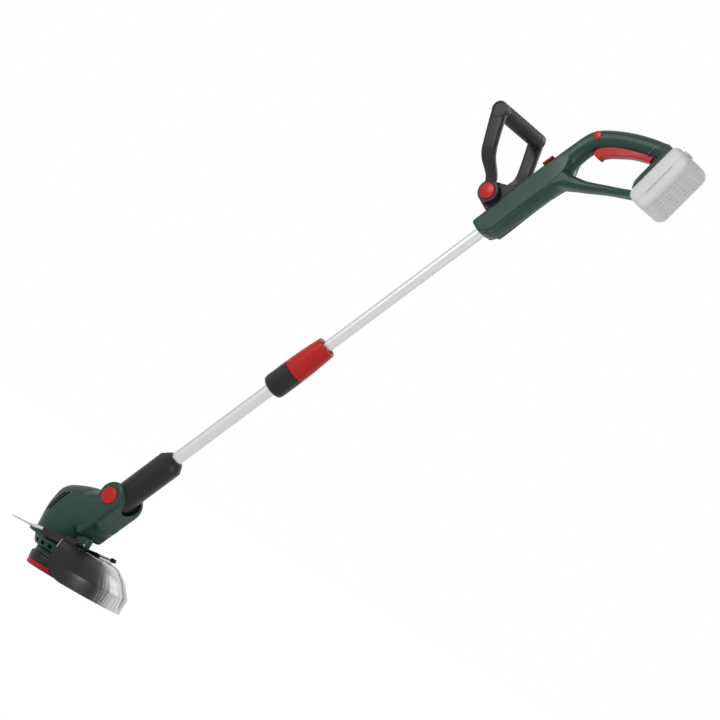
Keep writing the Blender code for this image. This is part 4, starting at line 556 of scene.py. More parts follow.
# The pale grey of the guard's rim faces is a painted highlight; the grip's seam bead takes the same grey.
RIM_HIGHLIGHT_AND_SEAM_GREY = plastic("rim_highlight_and_seam_grey", (0.1500, 0.1470, 0.1500), 0.30, 1800.0, 0.000006)
# The pale grey of the guard's edge beads is a painted highlight.
EDGE_BEAD_HIGHLIGHT = plastic("guard_edge_bead_highlight", (0.4200, 0.4150, 0.4200), 0.25, 1800.0, 0.000004)
LINE = plastic("nylon_line", (0.8200, 0.3400, 0.0500), 0.35, 900.0, 0.000010)
print("guard finishes ready")

# %% [markdown]
# ## Giving a piece its finish and its body
# Each new piece takes one finish, rides on the CAD body that carries it, and hides the CAD nodes that
# it stands for. One function does all three and shades the piece smooth, with the true edges sharp.
# Pieces are made in a collection that serves as a workbench, and leave it when they are finished.

# %% Dressing a piece
made_pieces = []


def on_show(piece):
    """Move a finished piece from the bench into the scene."""
    BENCH.objects.unlink(piece)
    bpy.context.scene.collection.objects.link(piece)


def dressed(piece, finish, body, slot, *stands_for, angle=32.0):
    piece.data.materials.clear()
    piece.data.materials.append(finish)
    piece.data.shade_smooth()
    piece.data.set_sharp_from_angle(angle=radians(angle))
    on_show(piece)
    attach(piece, body)
    if stands_for:
        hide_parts(*stands_for)
    made_pieces.append(piece)
    print(piece.name, len(piece.data.polygons), "faces")
    return piece


# %% [markdown]
# ## Tubes
# Two aluminium tubes slide in each other. Each is a turned ring with a small chamfer at its ends, fine
# enough that its long highlight stays straight.

# %% Lower and upper tube
LOWER_RADIUS = 0.0110
UPPER_RADIUS = 0.0095
TUBE_WALL = 0.0012


def reach_of(node):
    """How far a node reaches up the tube line, lowest and highest."""
    back = TUBE_FRAME.inverted()
    heights = [(back @ vertex.co).z for vertex in nodes[node].data.vertices]
    return min(heights), max(heights)


def tube(name, radius, start, end):
    ease = 0.0003
    profile = [
        (radius - ease, start),
        (radius, start + ease),
        (radius, end - ease),
        (radius - ease, end),
        (radius - TUBE_WALL, end),
        (radius - TUBE_WALL, start),
    ]
    return lathe(name, profile, 96, TUBE_FRAME)


TUBES = (("lower_tube", LOWER_RADIUS, "lower_shaft"), ("upper_tube", UPPER_RADIUS, "handle"))
for name, radius, body in TUBES:
    start, end = reach_of(name)
    dressed(tube("satin_" + name, radius, start, end), TUBE_METAL, body, "satin_tube", name)

# %% [markdown]
# ## Twist clamp
# A black base is fixed on the lower tube, and a red collar screws over it and squeezes a split collet.
# Both are turned. The collar swells towards the base and ends in a soft lip, and a fine shadow gap
# parts the two colours.

# %% Clamp base and collar
CLAMP_BORDER = reach_of("clamp_collar")[0] - CLEAR + 0.0025
CLAMP_START = reach_of("clamp_base")[0] + 0.0042
CLAMP_END = reach_of("clamp_collar")[1]
CLAMP_RADIUS = 0.0223
CLAMP_END_RADIUS = 0.0190
CLAMP_BEND = (0.0050, 0.0090)
CLAMP_TAPER = 1.7
CLAMP_LIP = 0.0016
CLAMP_EDGE = 0.0005
SPIGOT_RADIUS = 0.0165
SPIGOT_END = reach_of("clamp_base")[1]
THREAD_ROOM = 0.0310


def clamp_base():
    bore = LOWER_RADIUS + CLEAR
    middle = (CLAMP_RADIUS - CLAMP_BEND[0], CLAMP_START + 0.0100)
    profile = [
        (bore, CLAMP_START),
        (CLAMP_RADIUS - 0.0056, CLAMP_START),
        *arc(middle, CLAMP_BEND, -pi / 2, 0.0, 8),
        (CLAMP_RADIUS, CLAMP_BORDER - CLAMP_EDGE),
        (CLAMP_RADIUS - CLAMP_EDGE, CLAMP_BORDER),
        (SPIGOT_RADIUS, CLAMP_BORDER),
        (SPIGOT_RADIUS, SPIGOT_END),
        (bore, SPIGOT_END),
    ]
    return lathe("clamp_base_turned", profile, 96, TUBE_FRAME)


def clamp_collar():
    start = CLAMP_BORDER + CLEAR
    slim = UPPER_RADIUS + CLEAR
    span = CLAMP_END - start - 0.0022
    swell = CLAMP_RADIUS - CLAMP_END_RADIUS
    middle = (CLAMP_END_RADIUS - CLAMP_LIP, CLAMP_END - CLAMP_LIP)
    side = []
    for k in range(23, -1, -1):
        share = k / 24
        side.append((CLAMP_RADIUS - swell * share ** CLAMP_TAPER, start + 0.0008 + span * share))
    profile = [
        (slim, CLAMP_END - 0.0080),
        (slim + 0.0030, CLAMP_END - 0.0015),
        (CLAMP_END_RADIUS - 0.0034, CLAMP_END),
        *arc(middle, (CLAMP_LIP, CLAMP_LIP), pi / 2, 0.0, 4),
        *side,
        (CLAMP_RADIUS - 0.0006, start),
        (SPIGOT_RADIUS + CLEAR, start),
        (SPIGOT_RADIUS + CLEAR, SPIGOT_END + THREAD_ROOM),
        (slim, SPIGOT_END + THREAD_ROOM),
    ]
    return lathe("clamp_collar_turned", profile, 96, TUBE_FRAME)


dressed(clamp_base(), BLACK, "lower_shaft", "black_plastic", "clamp_base")
dressed(clamp_collar(), RED, "clamp_collar", "red_control", "clamp_collar")

# %% [markdown]
# ## Tube adapter
# The adapter is a black sleeve that ends in eight flats around the tube, and in a hub between the two
# cheeks of the head. The flats are cut by blocks set round the sleeve, so they stay equal.

# %% Tube adapter
ADAPTER_RADIUS = 0.0240
ADAPTER_TOP_RADIUS = 0.0143
ADAPTER_TAPER = 0.0155
ADAPTER_HUB_RADIUS = 0.0225
ADAPTER_HUB_HALF = 0.0233
ADAPTER_END = reach_of("tube_adapter")[1]
TILT_PIN_BORE = 0.0045


def tube_adapter():
    body = drum("tube_adapter_moulded", ADAPTER_RADIUS, on_tube(0.0), on_tube(ADAPTER_END), 96)
    joined(body, [crosswise("hub", ADAPTER_HUB_RADIUS, TILT_PIVOT, ADAPTER_HUB_HALF, 96)])
    slope = atan2(ADAPTER_RADIUS - ADAPTER_TOP_RADIUS, ADAPTER_TAPER)
    drills = []
    for k in range(8):
        around = Matrix.Rotation(2 * pi * (k + 0.5) / 8, 4, "Z")
        edge = Matrix.Translation((ADAPTER_TOP_RADIUS, 0, ADAPTER_END))
        facet = TUBE_FRAME @ around @ edge @ Matrix.Rotation(-slope, 4, "Y")
        drills.append(block("facet", (0, -0.0500, -0.0600), (0.0400, 0.0500, 0.0400), facet))
    low = on_tube(reach_of("lower_tube")[0] - CLEAR)
    drills.append(drum("bore", LOWER_RADIUS + CLEAR, low, on_tube(ADAPTER_END + 0.0200)))
    drills.append(crosswise("pin_bore", TILT_PIN_BORE, TILT_PIVOT, 0.0500))
    return eased(carved(body, drills), 0.0006, 2, 25.0)


dressed(tube_adapter(), BLACK, "lower_shaft", "black_plastic", "tube_adapter")

# %% [markdown]
# ## Head housing
# The head is two moulded shells: a dome over the motor, a tail that carries two cheeks round the tilt
# pin, a flange and a round base, with a round boss under the tail that stands on the guard. On the
# real one these forms flow into each other. Joined solids meet in hard creases instead, so the dome
# and the cheeks are melted into an even skin and smoothed well, flange and base are melted on more
# lightly, and only then are the windows, slots and pockets cut, which keeps their edges crisp.

# %% Dome, flange and base
LEVEL_STEPS = 5
HEAD_COUNT = 96
FLANGE_BOTTOM = 0.0500
FLANGE_TOP = 0.0562
BASE_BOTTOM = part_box("head_shell_left")[0].z


def levels_skin(name, levels, steps):
    """A skin over level ovals (height, front, rear, half width, power)."""
    sections = []
    for height, front, rear, half_width, power in flowing(levels, steps):
        middle = (front + rear) / 2
        ring = superoval((rear - front) / 2, half_width, power, HEAD_COUNT)
        sections.append([Vector((middle + a, b, height)) for a, b in ring])
    return skin(name, sections)


def head_dome():
    levels = [
        (0.0490, -0.0640, 0.0275, 0.0385, 2.3),
        (0.0575, -0.0645, 0.0280, 0.0388, 2.3),
        (0.0680, -0.0645, 0.0300, 0.0395, 2.3),
        (0.0850, -0.0660, 0.0360, 0.0408, 2.3),
        (0.1050, -0.0668, 0.0460, 0.0408, 2.3),
        (0.1200, -0.0650, 0.0540, 0.0395, 2.3),
        (0.1330, -0.0628, 0.0600, 0.0372, 2.3),
        (0.1410, -0.0580, 0.0610, 0.0350, 2.3),
        (0.1480, -0.0510, 0.0620, 0.0318, 2.3),
        (0.1550, -0.0385, 0.0600, 0.0262, 2.2),
        (0.1630, -0.0170, 0.0520, 0.0185, 2.1),
        (0.1680, 0.0000, 0.0420, 0.0090, 2.0),
    ]
    return levels_skin("head_housing", levels, LEVEL_STEPS)


def head_flange():
    levels = [
        (FLANGE_BOTTOM, -0.0725, 0.0325, 0.0445, 2.3),
        (FLANGE_BOTTOM + 0.0015, -0.0740, 0.0340, 0.0460, 2.3),
        (FLANGE_TOP - 0.0015, -0.0740, 0.0340, 0.0460, 2.3),
        (FLANGE_TOP, -0.0725, 0.0325, 0.0445, 2.3),
    ]
    return levels_skin("flange", levels, 1)


def head_base():
    profile = [
        (0.0, 0.0504),
        (0.0555, 0.0504),
        (0.0548, 0.0470),
        (0.0518, 0.0405),
        (0.0500, 0.0372),
        (0.0460, BASE_BOTTOM),
        (0.0, BASE_BOTTOM),
    ]
    return lathe("base", profile, 128)


print("head forms ready")

# %% Cheeks
CHEEK_RADIUS = 0.0278
CHEEK_HALF = 0.0340
CHEEK_INNER = 0.0245
CHEEK_FRONT_RADIUS = 0.0245
GUARD_TOP = 0.0670
BOSS_SPOT = (0.0370, -0.0100)
BOSS_RADIUS = 0.0150
BOSS_TOP = 0.0880
TAIL_LENGTH = 0.0812
TAIL_BOTTOM = 0.0840
LAID_BACK = radians(40.0)


def cheek_slab():
    """The tail and both cheeks as one thick plate, round about the tilt pin."""
    last = -TUBE_LEAN
    outline = [(TILT_PIVOT.x - CHEEK_FRONT_RADIUS, TAIL_BOTTOM)]
    for k in range(37):
        share = k / 36
        angle = pi + (last - pi) * share
        radius = CHEEK_FRONT_RADIUS + (CHEEK_RADIUS - CHEEK_FRONT_RADIUS) * min(1.0, share / 0.5) ** 2
        outline.append((TILT_PIVOT.x + radius * cos(angle), TILT_PIVOT.z + radius * sin(angle)))
    low = on_tube(-TAIL_LENGTH, 0.0012 - CHEEK_RADIUS)
    outline.append((low.x, low.z))
    return eased(slab("cheeks", outline, CHEEK_HALF), 0.0082, 6, 40.0)


def shoulder():
    """The tail between dome and cheeks, as sections (x, low, high, half width, power) front to rear."""
    stations = [
        (-0.0300, 0.0560, 0.1480, 0.0380, 2.3),
        (-0.0080, 0.0600, 0.1580, 0.0396, 2.4),
        (0.0120, 0.0700, 0.1650, 0.0398, 2.7),
        (0.0300, 0.0850, 0.1690, 0.0374, 3.4),
        (0.0450, 0.0990, 0.1720, 0.0350, 4.4),
        (0.0580, 0.1130, 0.1730, 0.0325, 5.5),
    ]
    sections = []
    for x, low, high, half_width, power in flowing(stations, 5):
        ring = superoval((high - low) / 2, half_width, power, HEAD_COUNT)
        sections.append([Vector((x, b, (low + high) / 2 + a)) for a, b in ring])
    return skin("shoulder", sections)


def channel_drills():
    """Room for the adapter between upright and laid back."""
    drills = [crosswise("hub_room", ADAPTER_HUB_RADIUS + 0.0028, TILT_PIVOT, CHEEK_INNER)]
    wide = ADAPTER_RADIUS + 0.0006
    back = TUBE_LEAN + LAID_BACK
    for angle in (0.0, TUBE_LEAN, back):
        along = Vector((sin(angle), 0, cos(angle)))
        drills.append(drum("room", wide, TILT_PIVOT, TILT_PIVOT + along * 0.1200))
    pivot = (TILT_PIVOT.x, TILT_PIVOT.z)
    fan = [pivot, *arc(pivot, (0.1000, 0.1000), pi / 2, pi / 2 - back, 8)]
    drills.append(slab("sweep", fan, CHEEK_INNER))
    drills.append(block("front_room", (0.0100, -CHEEK_INNER, 0.1725), (TILT_PIVOT.x, CHEEK_INNER, 0.2200)))
    return drills


print("cheeks reach", round(CHEEK_HALF * 1000, 1), "mm to each side")

# %% Windows, vent slots and pockets
WINDOW_ANGLES = (66.0, 85.0, 104.0)
WINDOW_HALF = 0.0040
WINDOW_LOW = 0.0392
WINDOW_HIGH = 0.0455
CHAMBER_RADIUS = 0.0430
POCKET_DEPTH = 0.0066
SLOT_CENTRES = ((-0.0340, 0.1170), (-0.0420, 0.1130))
SLOT_LEAN = radians(22.0)
BUTTON_RADIUS = (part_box("tilt_button")[1].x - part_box("tilt_button")[0].x) / 2
SEAM_HALF = 0.00018
SCREW_HEAD = 0.0023
SCREW_HEAD_ROOM = 0.0035
SCREW_SHANK_ROOM = 0.0018


def screw_drills(lowest, highest):
    """A counterbore for the head of a screw and a bore for its shank, from the screw's own box."""
    middle = (lowest + highest) / 2
    start = Vector((middle.x, highest.y - SCREW_HEAD - CLEAR, middle.z))
    end = Vector((middle.x, lowest.y - CLEAR, middle.z))
    counterbore = drum("counterbore", SCREW_HEAD_ROOM, start, start + ACROSS * 0.0400, 48)
    return [counterbore, drum("shank", SCREW_SHANK_ROOM, end, start + ACROSS * 0.0010, 24)]


def head_drills():
    drills = channel_drills()
    drills.append(drum("chamber", CHAMBER_RADIUS, (0, 0, 0.0300), (0, 0, FLANGE_BOTTOM), 96))
    for side in (-1, 1):
        for angle in WINDOW_ANGLES:
            turn = Matrix.Rotation(pi + side * radians(angle), 4, "Z")
            low = (0.0380, -WINDOW_HALF, WINDOW_LOW)
            drills.append(eased(block("window", low, (0.0700, WINDOW_HALF, WINDOW_HIGH), turn), 0.0010, 3))
        floor = TILT_PIVOT + ACROSS * side * (CHEEK_HALF - POCKET_DEPTH)
        drills.append(drum("pocket", BUTTON_RADIUS + 0.0005, floor, floor + ACROSS * side * 0.0200, 96))
        for x, z in SLOT_CENTRES:
            stand = Matrix.Translation((x, side * 0.0460, z)) @ Matrix.Rotation(SLOT_LEAN, 4, "Y")
            slot = block("vent", (-0.0019, -0.0240, -0.0230), (0.0019, 0.0240, 0.0230), stand)
            drills.append(eased(slot, 0.0012, 3))
    drills.append(crosswise("pin_bore", TILT_PIN_BORE, TILT_PIVOT, 0.0500))
    for k in range(3):
        drills.extend(screw_drills(*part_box(f"head_screw_{k + 1}")))
    drills.append(block("parting", (-0.2, -SEAM_HALF, 0.0), (0.2, SEAM_HALF, 0.3)))
    return drills


def guard_boss():
    """The round boss under the tail that stands on the guard's top."""
    low = (*BOSS_SPOT, GUARD_TOP + CLEAR)
    return eased(drum("boss", BOSS_RADIUS, low, (*BOSS_SPOT, BOSS_TOP), 96), 0.0040, 6, 60.0)


def head_housing():
    body = joined(head_dome(), [cheek_slab(), shoulder()])
    body = joined(moulded(body, 0.0012, 16), [head_flange(), head_base()])
    body = joined(moulded(body, 0.0009, 4), [guard_boss()])
    return carved(body, head_drills())


dressed(head_housing(), GREEN, "head", "green_housing", "head_shell_left", "head_shell_right")

# %% [markdown]
# ## Tilt button
# The red button is a shallow dome with a soft lip, sunk in a round pocket of the cheek. The far cheek
# has a plain green cap of the same size. Both are turned from one profile.

# %% Tilt button and cap


def domed_profile(radius, outer, inner, dome, lip):
    """A profile from the top of a shallow dome over a rounded lip down to the floor."""
    profile = []
    for k in range(13):
        share = k / 12
        profile.append((radius * 0.90 * share, outer - dome * share ** 2.2))
    profile.extend(arc((radius * 0.90, outer - dome - lip), (radius * 0.10, lip), pi / 2, 0.0, 6)[1:])
    profile.append((radius, inner))
    profile.append((0.0, inner))
    return profile


def cap_on_cheek(name, side, node):
    low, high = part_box(node)
    outer = max(abs(low.y), abs(high.y))
    inner = min(abs(low.y), abs(high.y))
    turn = Matrix.Rotation(radians(-90.0 * side), 4, "X")
    stand = Matrix.Translation((TILT_PIVOT.x, 0, TILT_PIVOT.z)) @ turn
    return lathe(name, domed_profile(BUTTON_RADIUS, outer, inner, 0.0014, 0.0018), 96, stand)


button = cap_on_cheek("tilt_button_domed", -1, "tilt_button")
dressed(button, RED, "tilt_button", "red_control", "tilt_button")
dressed(cap_on_cheek("tilt_cap_domed", 1, "tilt_cap"), GREEN, "head", "green_housing", "tilt_cap")

# %% [markdown]
# ## Spool housing and spool cap
# The black cup spins under the head and the red cap snaps into it. A turned profile with soft corners
# makes each, and the cap gets shallow finger ribs round its edge by cutting small round grooves.

# %% Cup and cap
CUP_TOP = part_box("spool_housing")[1].z
CUP_HOLE = 0.0080
CUP_NECK = 0.0418
CUP_BORE = 0.0397
CUP_ROOF = 0.0034
CAP_RADIUS = 0.0445
CAP_BEND = 0.0030
CAP_FLOOR = 0.0030
FINGER_RIBS = 48
FINGER_RADIUS = 0.0011
CAP_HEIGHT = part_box("spool_housing")[0].z - CLEAR
EYELET_ANGLE = radians(128.0)


def spool_cup():
    low = CAP_HEIGHT + CLEAR
    profile = [
        (CUP_HOLE, CUP_TOP),
        (CUP_NECK - 0.0006, CUP_TOP),
        (CUP_NECK, CUP_TOP - 0.0006),
        (CUP_NECK, CUP_TOP - 0.0060),
    ]
    for k in range(9):
        share = k / 8
        swell = 3 * share ** 2 - 2 * share ** 3
        profile.append((CUP_NECK + 0.0042 * swell, CUP_TOP - 0.0062 - 0.0063 * share))
    profile.extend([
        (CAP_RADIUS + 0.0004, low + 0.0006),
        (CAP_RADIUS, low),
        (CUP_BORE, low),
        (CUP_BORE, CUP_TOP - CUP_ROOF),
        (CUP_HOLE, CUP_TOP - CUP_ROOF),
    ])
    cup = lathe("spool_cup_turned", profile, 128)
    out = Vector((cos(EYELET_ANGLE), sin(EYELET_ANGLE), 0))
    middle = Vector((0, 0, 0.0190))
    drills = [drum("eyelet", 0.0041, middle + out * 0.0360, middle + out * 0.0600)]
    for k in range(6):
        turn = Matrix.Rotation(2 * pi * (k + 0.5) / 6, 4, "Z")
        recess = block("recess", (0.0445, -0.0060, 0.0125), (0.0480, 0.0060, 0.0185), turn)
        drills.append(eased(recess, 0.0008, 2))
    return carved(cup, drills)


def spool_cap():
    profile = [
        (0.0, CAP_FLOOR),
        (CUP_BORE, CAP_FLOOR),
        (CUP_BORE, CAP_HEIGHT),
        (CAP_RADIUS - 0.0005, CAP_HEIGHT),
        (CAP_RADIUS, CAP_HEIGHT - 0.0005),
        *arc((CAP_RADIUS - CAP_BEND, CAP_BEND), (CAP_BEND, CAP_BEND), 0.0, -pi / 2, 8),
        (0.0, 0.0),
    ]
    cap = lathe("spool_cap_turned", profile, 144)
    groove = [(0.0140, -0.0010), (0.0140, 0.0012), (0.0120, 0.0012), (0.0120, -0.0010)]
    drills = [lathe("groove", groove, 96)]
    reach = CAP_RADIUS + 0.0006
    for x, y in arc((0, 0), (reach, reach), 0.0, 2 * pi, FINGER_RIBS)[:-1]:
        drills.append(drum("finger", FINGER_RADIUS, (x, y, -0.0010), (x, y, 0.0066), 12))
    return carved(cap, drills)


dressed(spool_cup(), BLACK, "cutter", "black_plastic", "spool_housing")
dressed(spool_cap(), RED, "cutter", "red_control", "spool_cap")

# %% [markdown]
# ## Guard
# The guard is a fan-shaped hood turned about the spool axis and cut to a wedge behind the head. A
# turned ring clipped by a wedge keeps its wall even everywhere. Its front edges are cut back at an
# angle at the lower corners, its rim faces get a painted highlight in pale grey, and a thin bead, clipped
# from the same ring by a much narrower wedge, runs along each front edge with a painted highlight, a
# light line.

# %% Guard hood
GUARD_RADIUS = 0.1390
GUARD_HALF_ANGLE = radians(57.5)
GUARD_WALL = 0.0025
GUARD_INNER = 0.0625
RAIL_SPAN = (0.0345, 0.0615)
RAIL_SIDE = 0.0558
BEAD_ANGLE = radians(0.6)
BEAD_RISE = 0.0002
BEAD_POINTS = 25
BEAD_BOTTOM = 0.0360
WIRE_HEIGHT = 0.0652
WIRE_KINK_X = -0.0620
WIRE_SLOPE = 0.14
WIRE_FRONT_SLOPE = 0.07
GUARD_CORNER = (
    (40.0, -0.0100),
    (40.0, 0.0024),
    (44.0, 0.0030),
    (52.0, 0.0080),
    (57.5, 0.0290),
    (66.0, 0.0290),
    (66.0, -0.0100),
)


def wire_height(x):
    """Height of the plant guard's wire at x, straight through its guides and flatter before them."""
    height = WIRE_HEIGHT + WIRE_SLOPE * max(x, WIRE_KINK_X)
    return height + WIRE_FRONT_SLOPE * min(x - WIRE_KINK_X, 0.0)


def guard_profile():
    outer = [
        (GUARD_INNER, GUARD_TOP - 0.0006),
        (0.0880, GUARD_TOP),
        (0.0980, GUARD_TOP - 0.0006),
        (0.1050, GUARD_TOP - 0.0030),
        (0.1130, GUARD_TOP - 0.0090),
        (0.1210, GUARD_TOP - 0.0155),
        (0.1300, GUARD_TOP - 0.0260),
        (0.1370, GUARD_TOP - 0.0350),
        (GUARD_RADIUS, 0.0280),
        (GUARD_RADIUS, 0.0160),
        (GUARD_RADIUS - 0.0006, 0.0025),
    ]
    wall = GUARD_WALL
    inner = [
        (GUARD_RADIUS - 0.0006 - wall, 0.0025),
        (GUARD_RADIUS - wall, 0.0160),
        (GUARD_RADIUS - wall, 0.0272),
        (0.1350, GUARD_TOP - 0.0364),
        (0.1281, GUARD_TOP - 0.0276),
        (0.1193, GUARD_TOP - 0.0174),
        (0.1116, GUARD_TOP - 0.0112),
        (0.1038, GUARD_TOP - 0.0054),
        (0.0975, GUARD_TOP - 0.0031),
        (0.0880, GUARD_TOP - wall),
        (GUARD_INNER, GUARD_TOP - wall),
    ]
    return [*flowing(outer, 3), *flowing(inner, 3)]


def guard_wedge(first=-GUARD_HALF_ANGLE, last=GUARD_HALF_ANGLE):
    outline = [(0, 0), *arc((0, 0), (0.4000, 0.4000), first, last, 12)]
    return skin("wedge", [[Vector((x, y, z)) for x, y in outline] for z in (-0.0500, 0.1200)])


def guard_drills():
    drills = []
    middle = radians(53.0)
    for side in (-1, 1):
        turn = Matrix.Rotation(side * middle, 4, "Z")
        near = []
        far = []
        for angle, z in GUARD_CORNER:
            y = side * tan(radians(angle) - middle)
            near.append(turn @ Vector((0.0800, 0.0800 * y, z)))
            far.append(turn @ Vector((0.1600, 0.1600 * y, z)))
        drills.append(skin("corner", [near, far]))
        spot = Vector((0.0560, side * 0.0300, 0.0500))
        drills.append(drum("screw_room", 0.0018, spot, spot + Vector((0, 0, 0.0157))))
    return drills


def guard_rails():
    """Two short rails on the guard that hold the guides of the wire."""
    first, last = RAIL_SPAN
    outline = [
        (first, GUARD_TOP - 0.0015),
        (last, GUARD_TOP - 0.0015),
        (last, wire_height(last) + 0.0030),
        (first, wire_height(first) + 0.0030),
    ]
    return [slab("rail", outline, 0.0012, middle=side * RAIL_SIDE) for side in (-1, 1)]


def guard_hood():
    ring = lathe("guard_hood", guard_profile(), 180)
    solved(ring, guard_wedge(), "INTERSECT")
    return carved(joined(ring, guard_rails()), guard_drills())


def paint_rim_highlight(hood):
    """Paint a highlight on the faces along the cut front edges and the bottom rim, by giving them the pale grey
    material.
    """
    hood.data.materials.append(RIM_HIGHLIGHT_AND_SEAM_GREY)
    count = 0
    for face in hood.data.polygons:
        spot = face.center
        around = Vector((-spot.y, spot.x, 0)).normalized()
        along_edge = abs(face.normal.dot(around)) > 0.80 and spot.x < 0.0900
        if (along_edge and spot.xy.length > 0.0700) or face.normal.z < -0.85 and spot.z < 0.0040:
            face.material_index = 1
            count += 1
    print("rim faces", count)


def edge_bead(name, side):
    """The bead along a cut front edge, a touch higher than the guard, down to where the corner begins; its pale
    grey is a painted highlight.
    """
    outer = [(r - BEAD_RISE, z + BEAD_RISE) for r, z in guard_profile()[:BEAD_POINTS]]
    bead = lathe(name, outer + guard_profile()[-BEAD_POINTS:], 180)
    limits = sorted((side * GUARD_HALF_ANGLE, side * (GUARD_HALF_ANGLE - BEAD_ANGLE)))
    solved(bead, guard_wedge(*limits), "INTERSECT")
    return carved(bead, [*guard_drills(), block("below", (0.0, -0.2, -0.1), (0.2, 0.2, BEAD_BOTTOM))])


hood = dressed(guard_hood(), SMOKE, "head", "smoked_guard", "guard_shield")
paint_rim_highlight(hood)
# The beads carry a painted highlight, a light line along each front edge.
dressed(edge_bead("guard_edge_bead_near", -1), EDGE_BEAD_HIGHLIGHT, "head", "smoked_guard", "guard_shield")
dressed(edge_bead("guard_edge_bead_far", 1), EDGE_BEAD_HIGHLIGHT, "head", "smoked_guard", "guard_shield")

# %% [markdown]
# ## Plant-guard wire
# One bent spring-steel wire slides in two guides and keeps plants away from the line. A curve with a
# round bevel is the natural tool, turned into a mesh so that it rides as the rest does.

# %% Wire
WIRE_RADIUS = 0.0014
WIRE_HALF = 0.0500
WIRE_END_X = 0.0740
WIRE_BEND_X = -0.0700


def plant_wire():
    points = [
        (WIRE_END_X, -WIRE_HALF),
        (WIRE_KINK_X, -WIRE_HALF),
        *arc((WIRE_BEND_X, 0), (WIRE_HALF, WIRE_HALF), -pi / 2, -3 * pi / 2, 48),
        (WIRE_KINK_X, WIRE_HALF),
        (WIRE_END_X, WIRE_HALF),
    ]
    curve = bpy.data.curves.new("plant_wire", "CURVE")
    curve.dimensions = "3D"
    curve.bevel_depth = WIRE_RADIUS
    curve.bevel_resolution = 4
    curve.use_fill_caps = True
    spline = curve.splines.new("POLY")
    spline.points.add(len(points) - 1)
    for point, (x, y) in zip(spline.points, points):
        point.co = (x, y, wire_height(x), 1.0)
    bent = bpy.data.objects.new("bent", curve)
    BENCH.objects.link(bent)
    bpy.context.view_layer.update()
    graph = bpy.context.evaluated_depsgraph_get()
    mesh = bpy.data.meshes.new_from_object(bent.evaluated_get(graph))
    bpy.data.objects.remove(bent)
    made = bpy.data.objects.new("plant_wire_bent", mesh)
    BENCH.objects.link(made)
    return made


dressed(plant_wire(), STEEL, "plant_guard", "bright_steel", "plant_guard_wire", angle=60.0)

# %% [markdown]
# ## Rear handle
# The rear handle is the largest moulding: a long body round the tube, a grip that arches back, a lower
# bar that closes the loop, and a foot for the battery. It is drawn as ribs, each with a top and a
# bottom point on the middle plane, a half width and a squareness, and a skin is stretched over them.
# Melting the joined skins gives the smooth web where body, grip and bar meet. The flat side faces are
# boxier skins, joined on after the melting so that their edges stay crisp. The black block that the
# second handle turns on and the bead round the rear of the grip are pieces of their own.

# %% Ribs of the handle
HANDLE_COUNT = 72
FACE_HALF = 0.0219
BEARING_SPOT = (-0.0360, 0.8240)
BEARING_RADIUS = 0.0215


def ribs_skin(name, ribs, steps, rounder=0.0):
    """A skin over ribs (top x, top z, bottom x, bottom z, half width, power), rounder below if asked."""
    sections = []
    for top_x, top_z, low_x, low_z, half_width, power in flowing(ribs, steps):
        middle = Vector(((top_x + low_x) / 2, 0, (top_z + low_z) / 2))
        reach = Vector((top_x - low_x, 0, top_z - low_z)) / 2
        ring = superoval(1.0, half_width, power, HANDLE_COUNT)
        below = superoval(1.0, half_width, max(power - rounder, 2.0), HANDLE_COUNT)
        ring = [upper if upper[0] >= 0 else lower for upper, lower in zip(ring, below)]
        sections.append([middle + reach * a + ACROSS * b for a, b in ring])
    return skin(name, sections)


def tube_rib(s, high, low, half_width, power):
    top = on_tube(s, high)
    bottom = on_tube(s, low)
    return (top.x, top.z, bottom.x, bottom.z, half_width, power)


def handle_body():
    ribs = [
        tube_rib(0.7728, 0.0145, -0.0080, 0.0180, 5.0),
        tube_rib(0.7758, 0.0170, -0.0118, 0.0206, 5.0),
        tube_rib(0.7920, 0.0175, -0.0212, 0.0211, 5.0),
        tube_rib(0.8500, 0.0190, -0.0232, 0.0212, 5.0),
        tube_rib(0.9050, 0.0210, -0.0237, 0.0212, 5.0),
        tube_rib(0.9300, 0.0215, -0.0240, 0.0211, 4.6),
    ]
    sweep = [
        (on_tube(0.9480, 0.0220), (0.5090, 1.0010), 0.0205, 4.0),
        (on_tube(0.9660, 0.0225), (0.5060, 1.0180), 0.0196, 3.5),
        (on_tube(0.9900, 0.0230), (0.5130, 1.0380), 0.0186, 3.0),
        (on_tube(1.0060, 0.0235), (0.5230, 1.0530), 0.0176, 2.7),
    ]
    for top, bottom, half_width, power in sweep:
        ribs.append((top.x, top.z, *bottom, half_width, power))
    ribs.extend([
        (0.5060, 1.0830, 0.5300, 1.0590, 0.0172, 2.5),
        (0.5200, 1.0920, 0.5380, 1.0630, 0.0170, 2.4),
        (0.5400, 1.1000, 0.5510, 1.0690, 0.0168, 2.3),
        (0.5650, 1.1070, 0.5700, 1.0750, 0.0167, 2.3),
        (0.5900, 1.1120, 0.5920, 1.0795, 0.0167, 2.3),
        (0.6150, 1.1150, 0.6150, 1.0825, 0.0168, 2.3),
        (0.6400, 1.1160, 0.6360, 1.0850, 0.0172, 2.5),
        (0.6570, 1.1130, 0.6500, 1.0880, 0.0190, 3.0),
    ])
    return ribs_skin("handle_housing", ribs, 4, 2.0)


def handle_bar():
    ribs = [
        (0.4840, 1.0080, 0.4860, 0.9560, 0.0206, 4.0),
        (0.5000, 1.0060, 0.5000, 0.9735, 0.0200, 3.8),
        (0.5150, 1.0035, 0.5150, 0.9790, 0.0180, 3.2),
        (0.5280, 1.0040, 0.5290, 0.9830, 0.0160, 2.8),
        (0.5450, 1.0055, 0.5450, 0.9870, 0.0145, 2.5),
        (0.5800, 1.0130, 0.5800, 0.9980, 0.0135, 2.5),
        (0.6100, 1.0195, 0.6120, 1.0060, 0.0140, 2.5),
        (0.6340, 1.0245, 0.6370, 1.0125, 0.0180, 2.8),
    ]
    return ribs_skin("bar", ribs, 4)


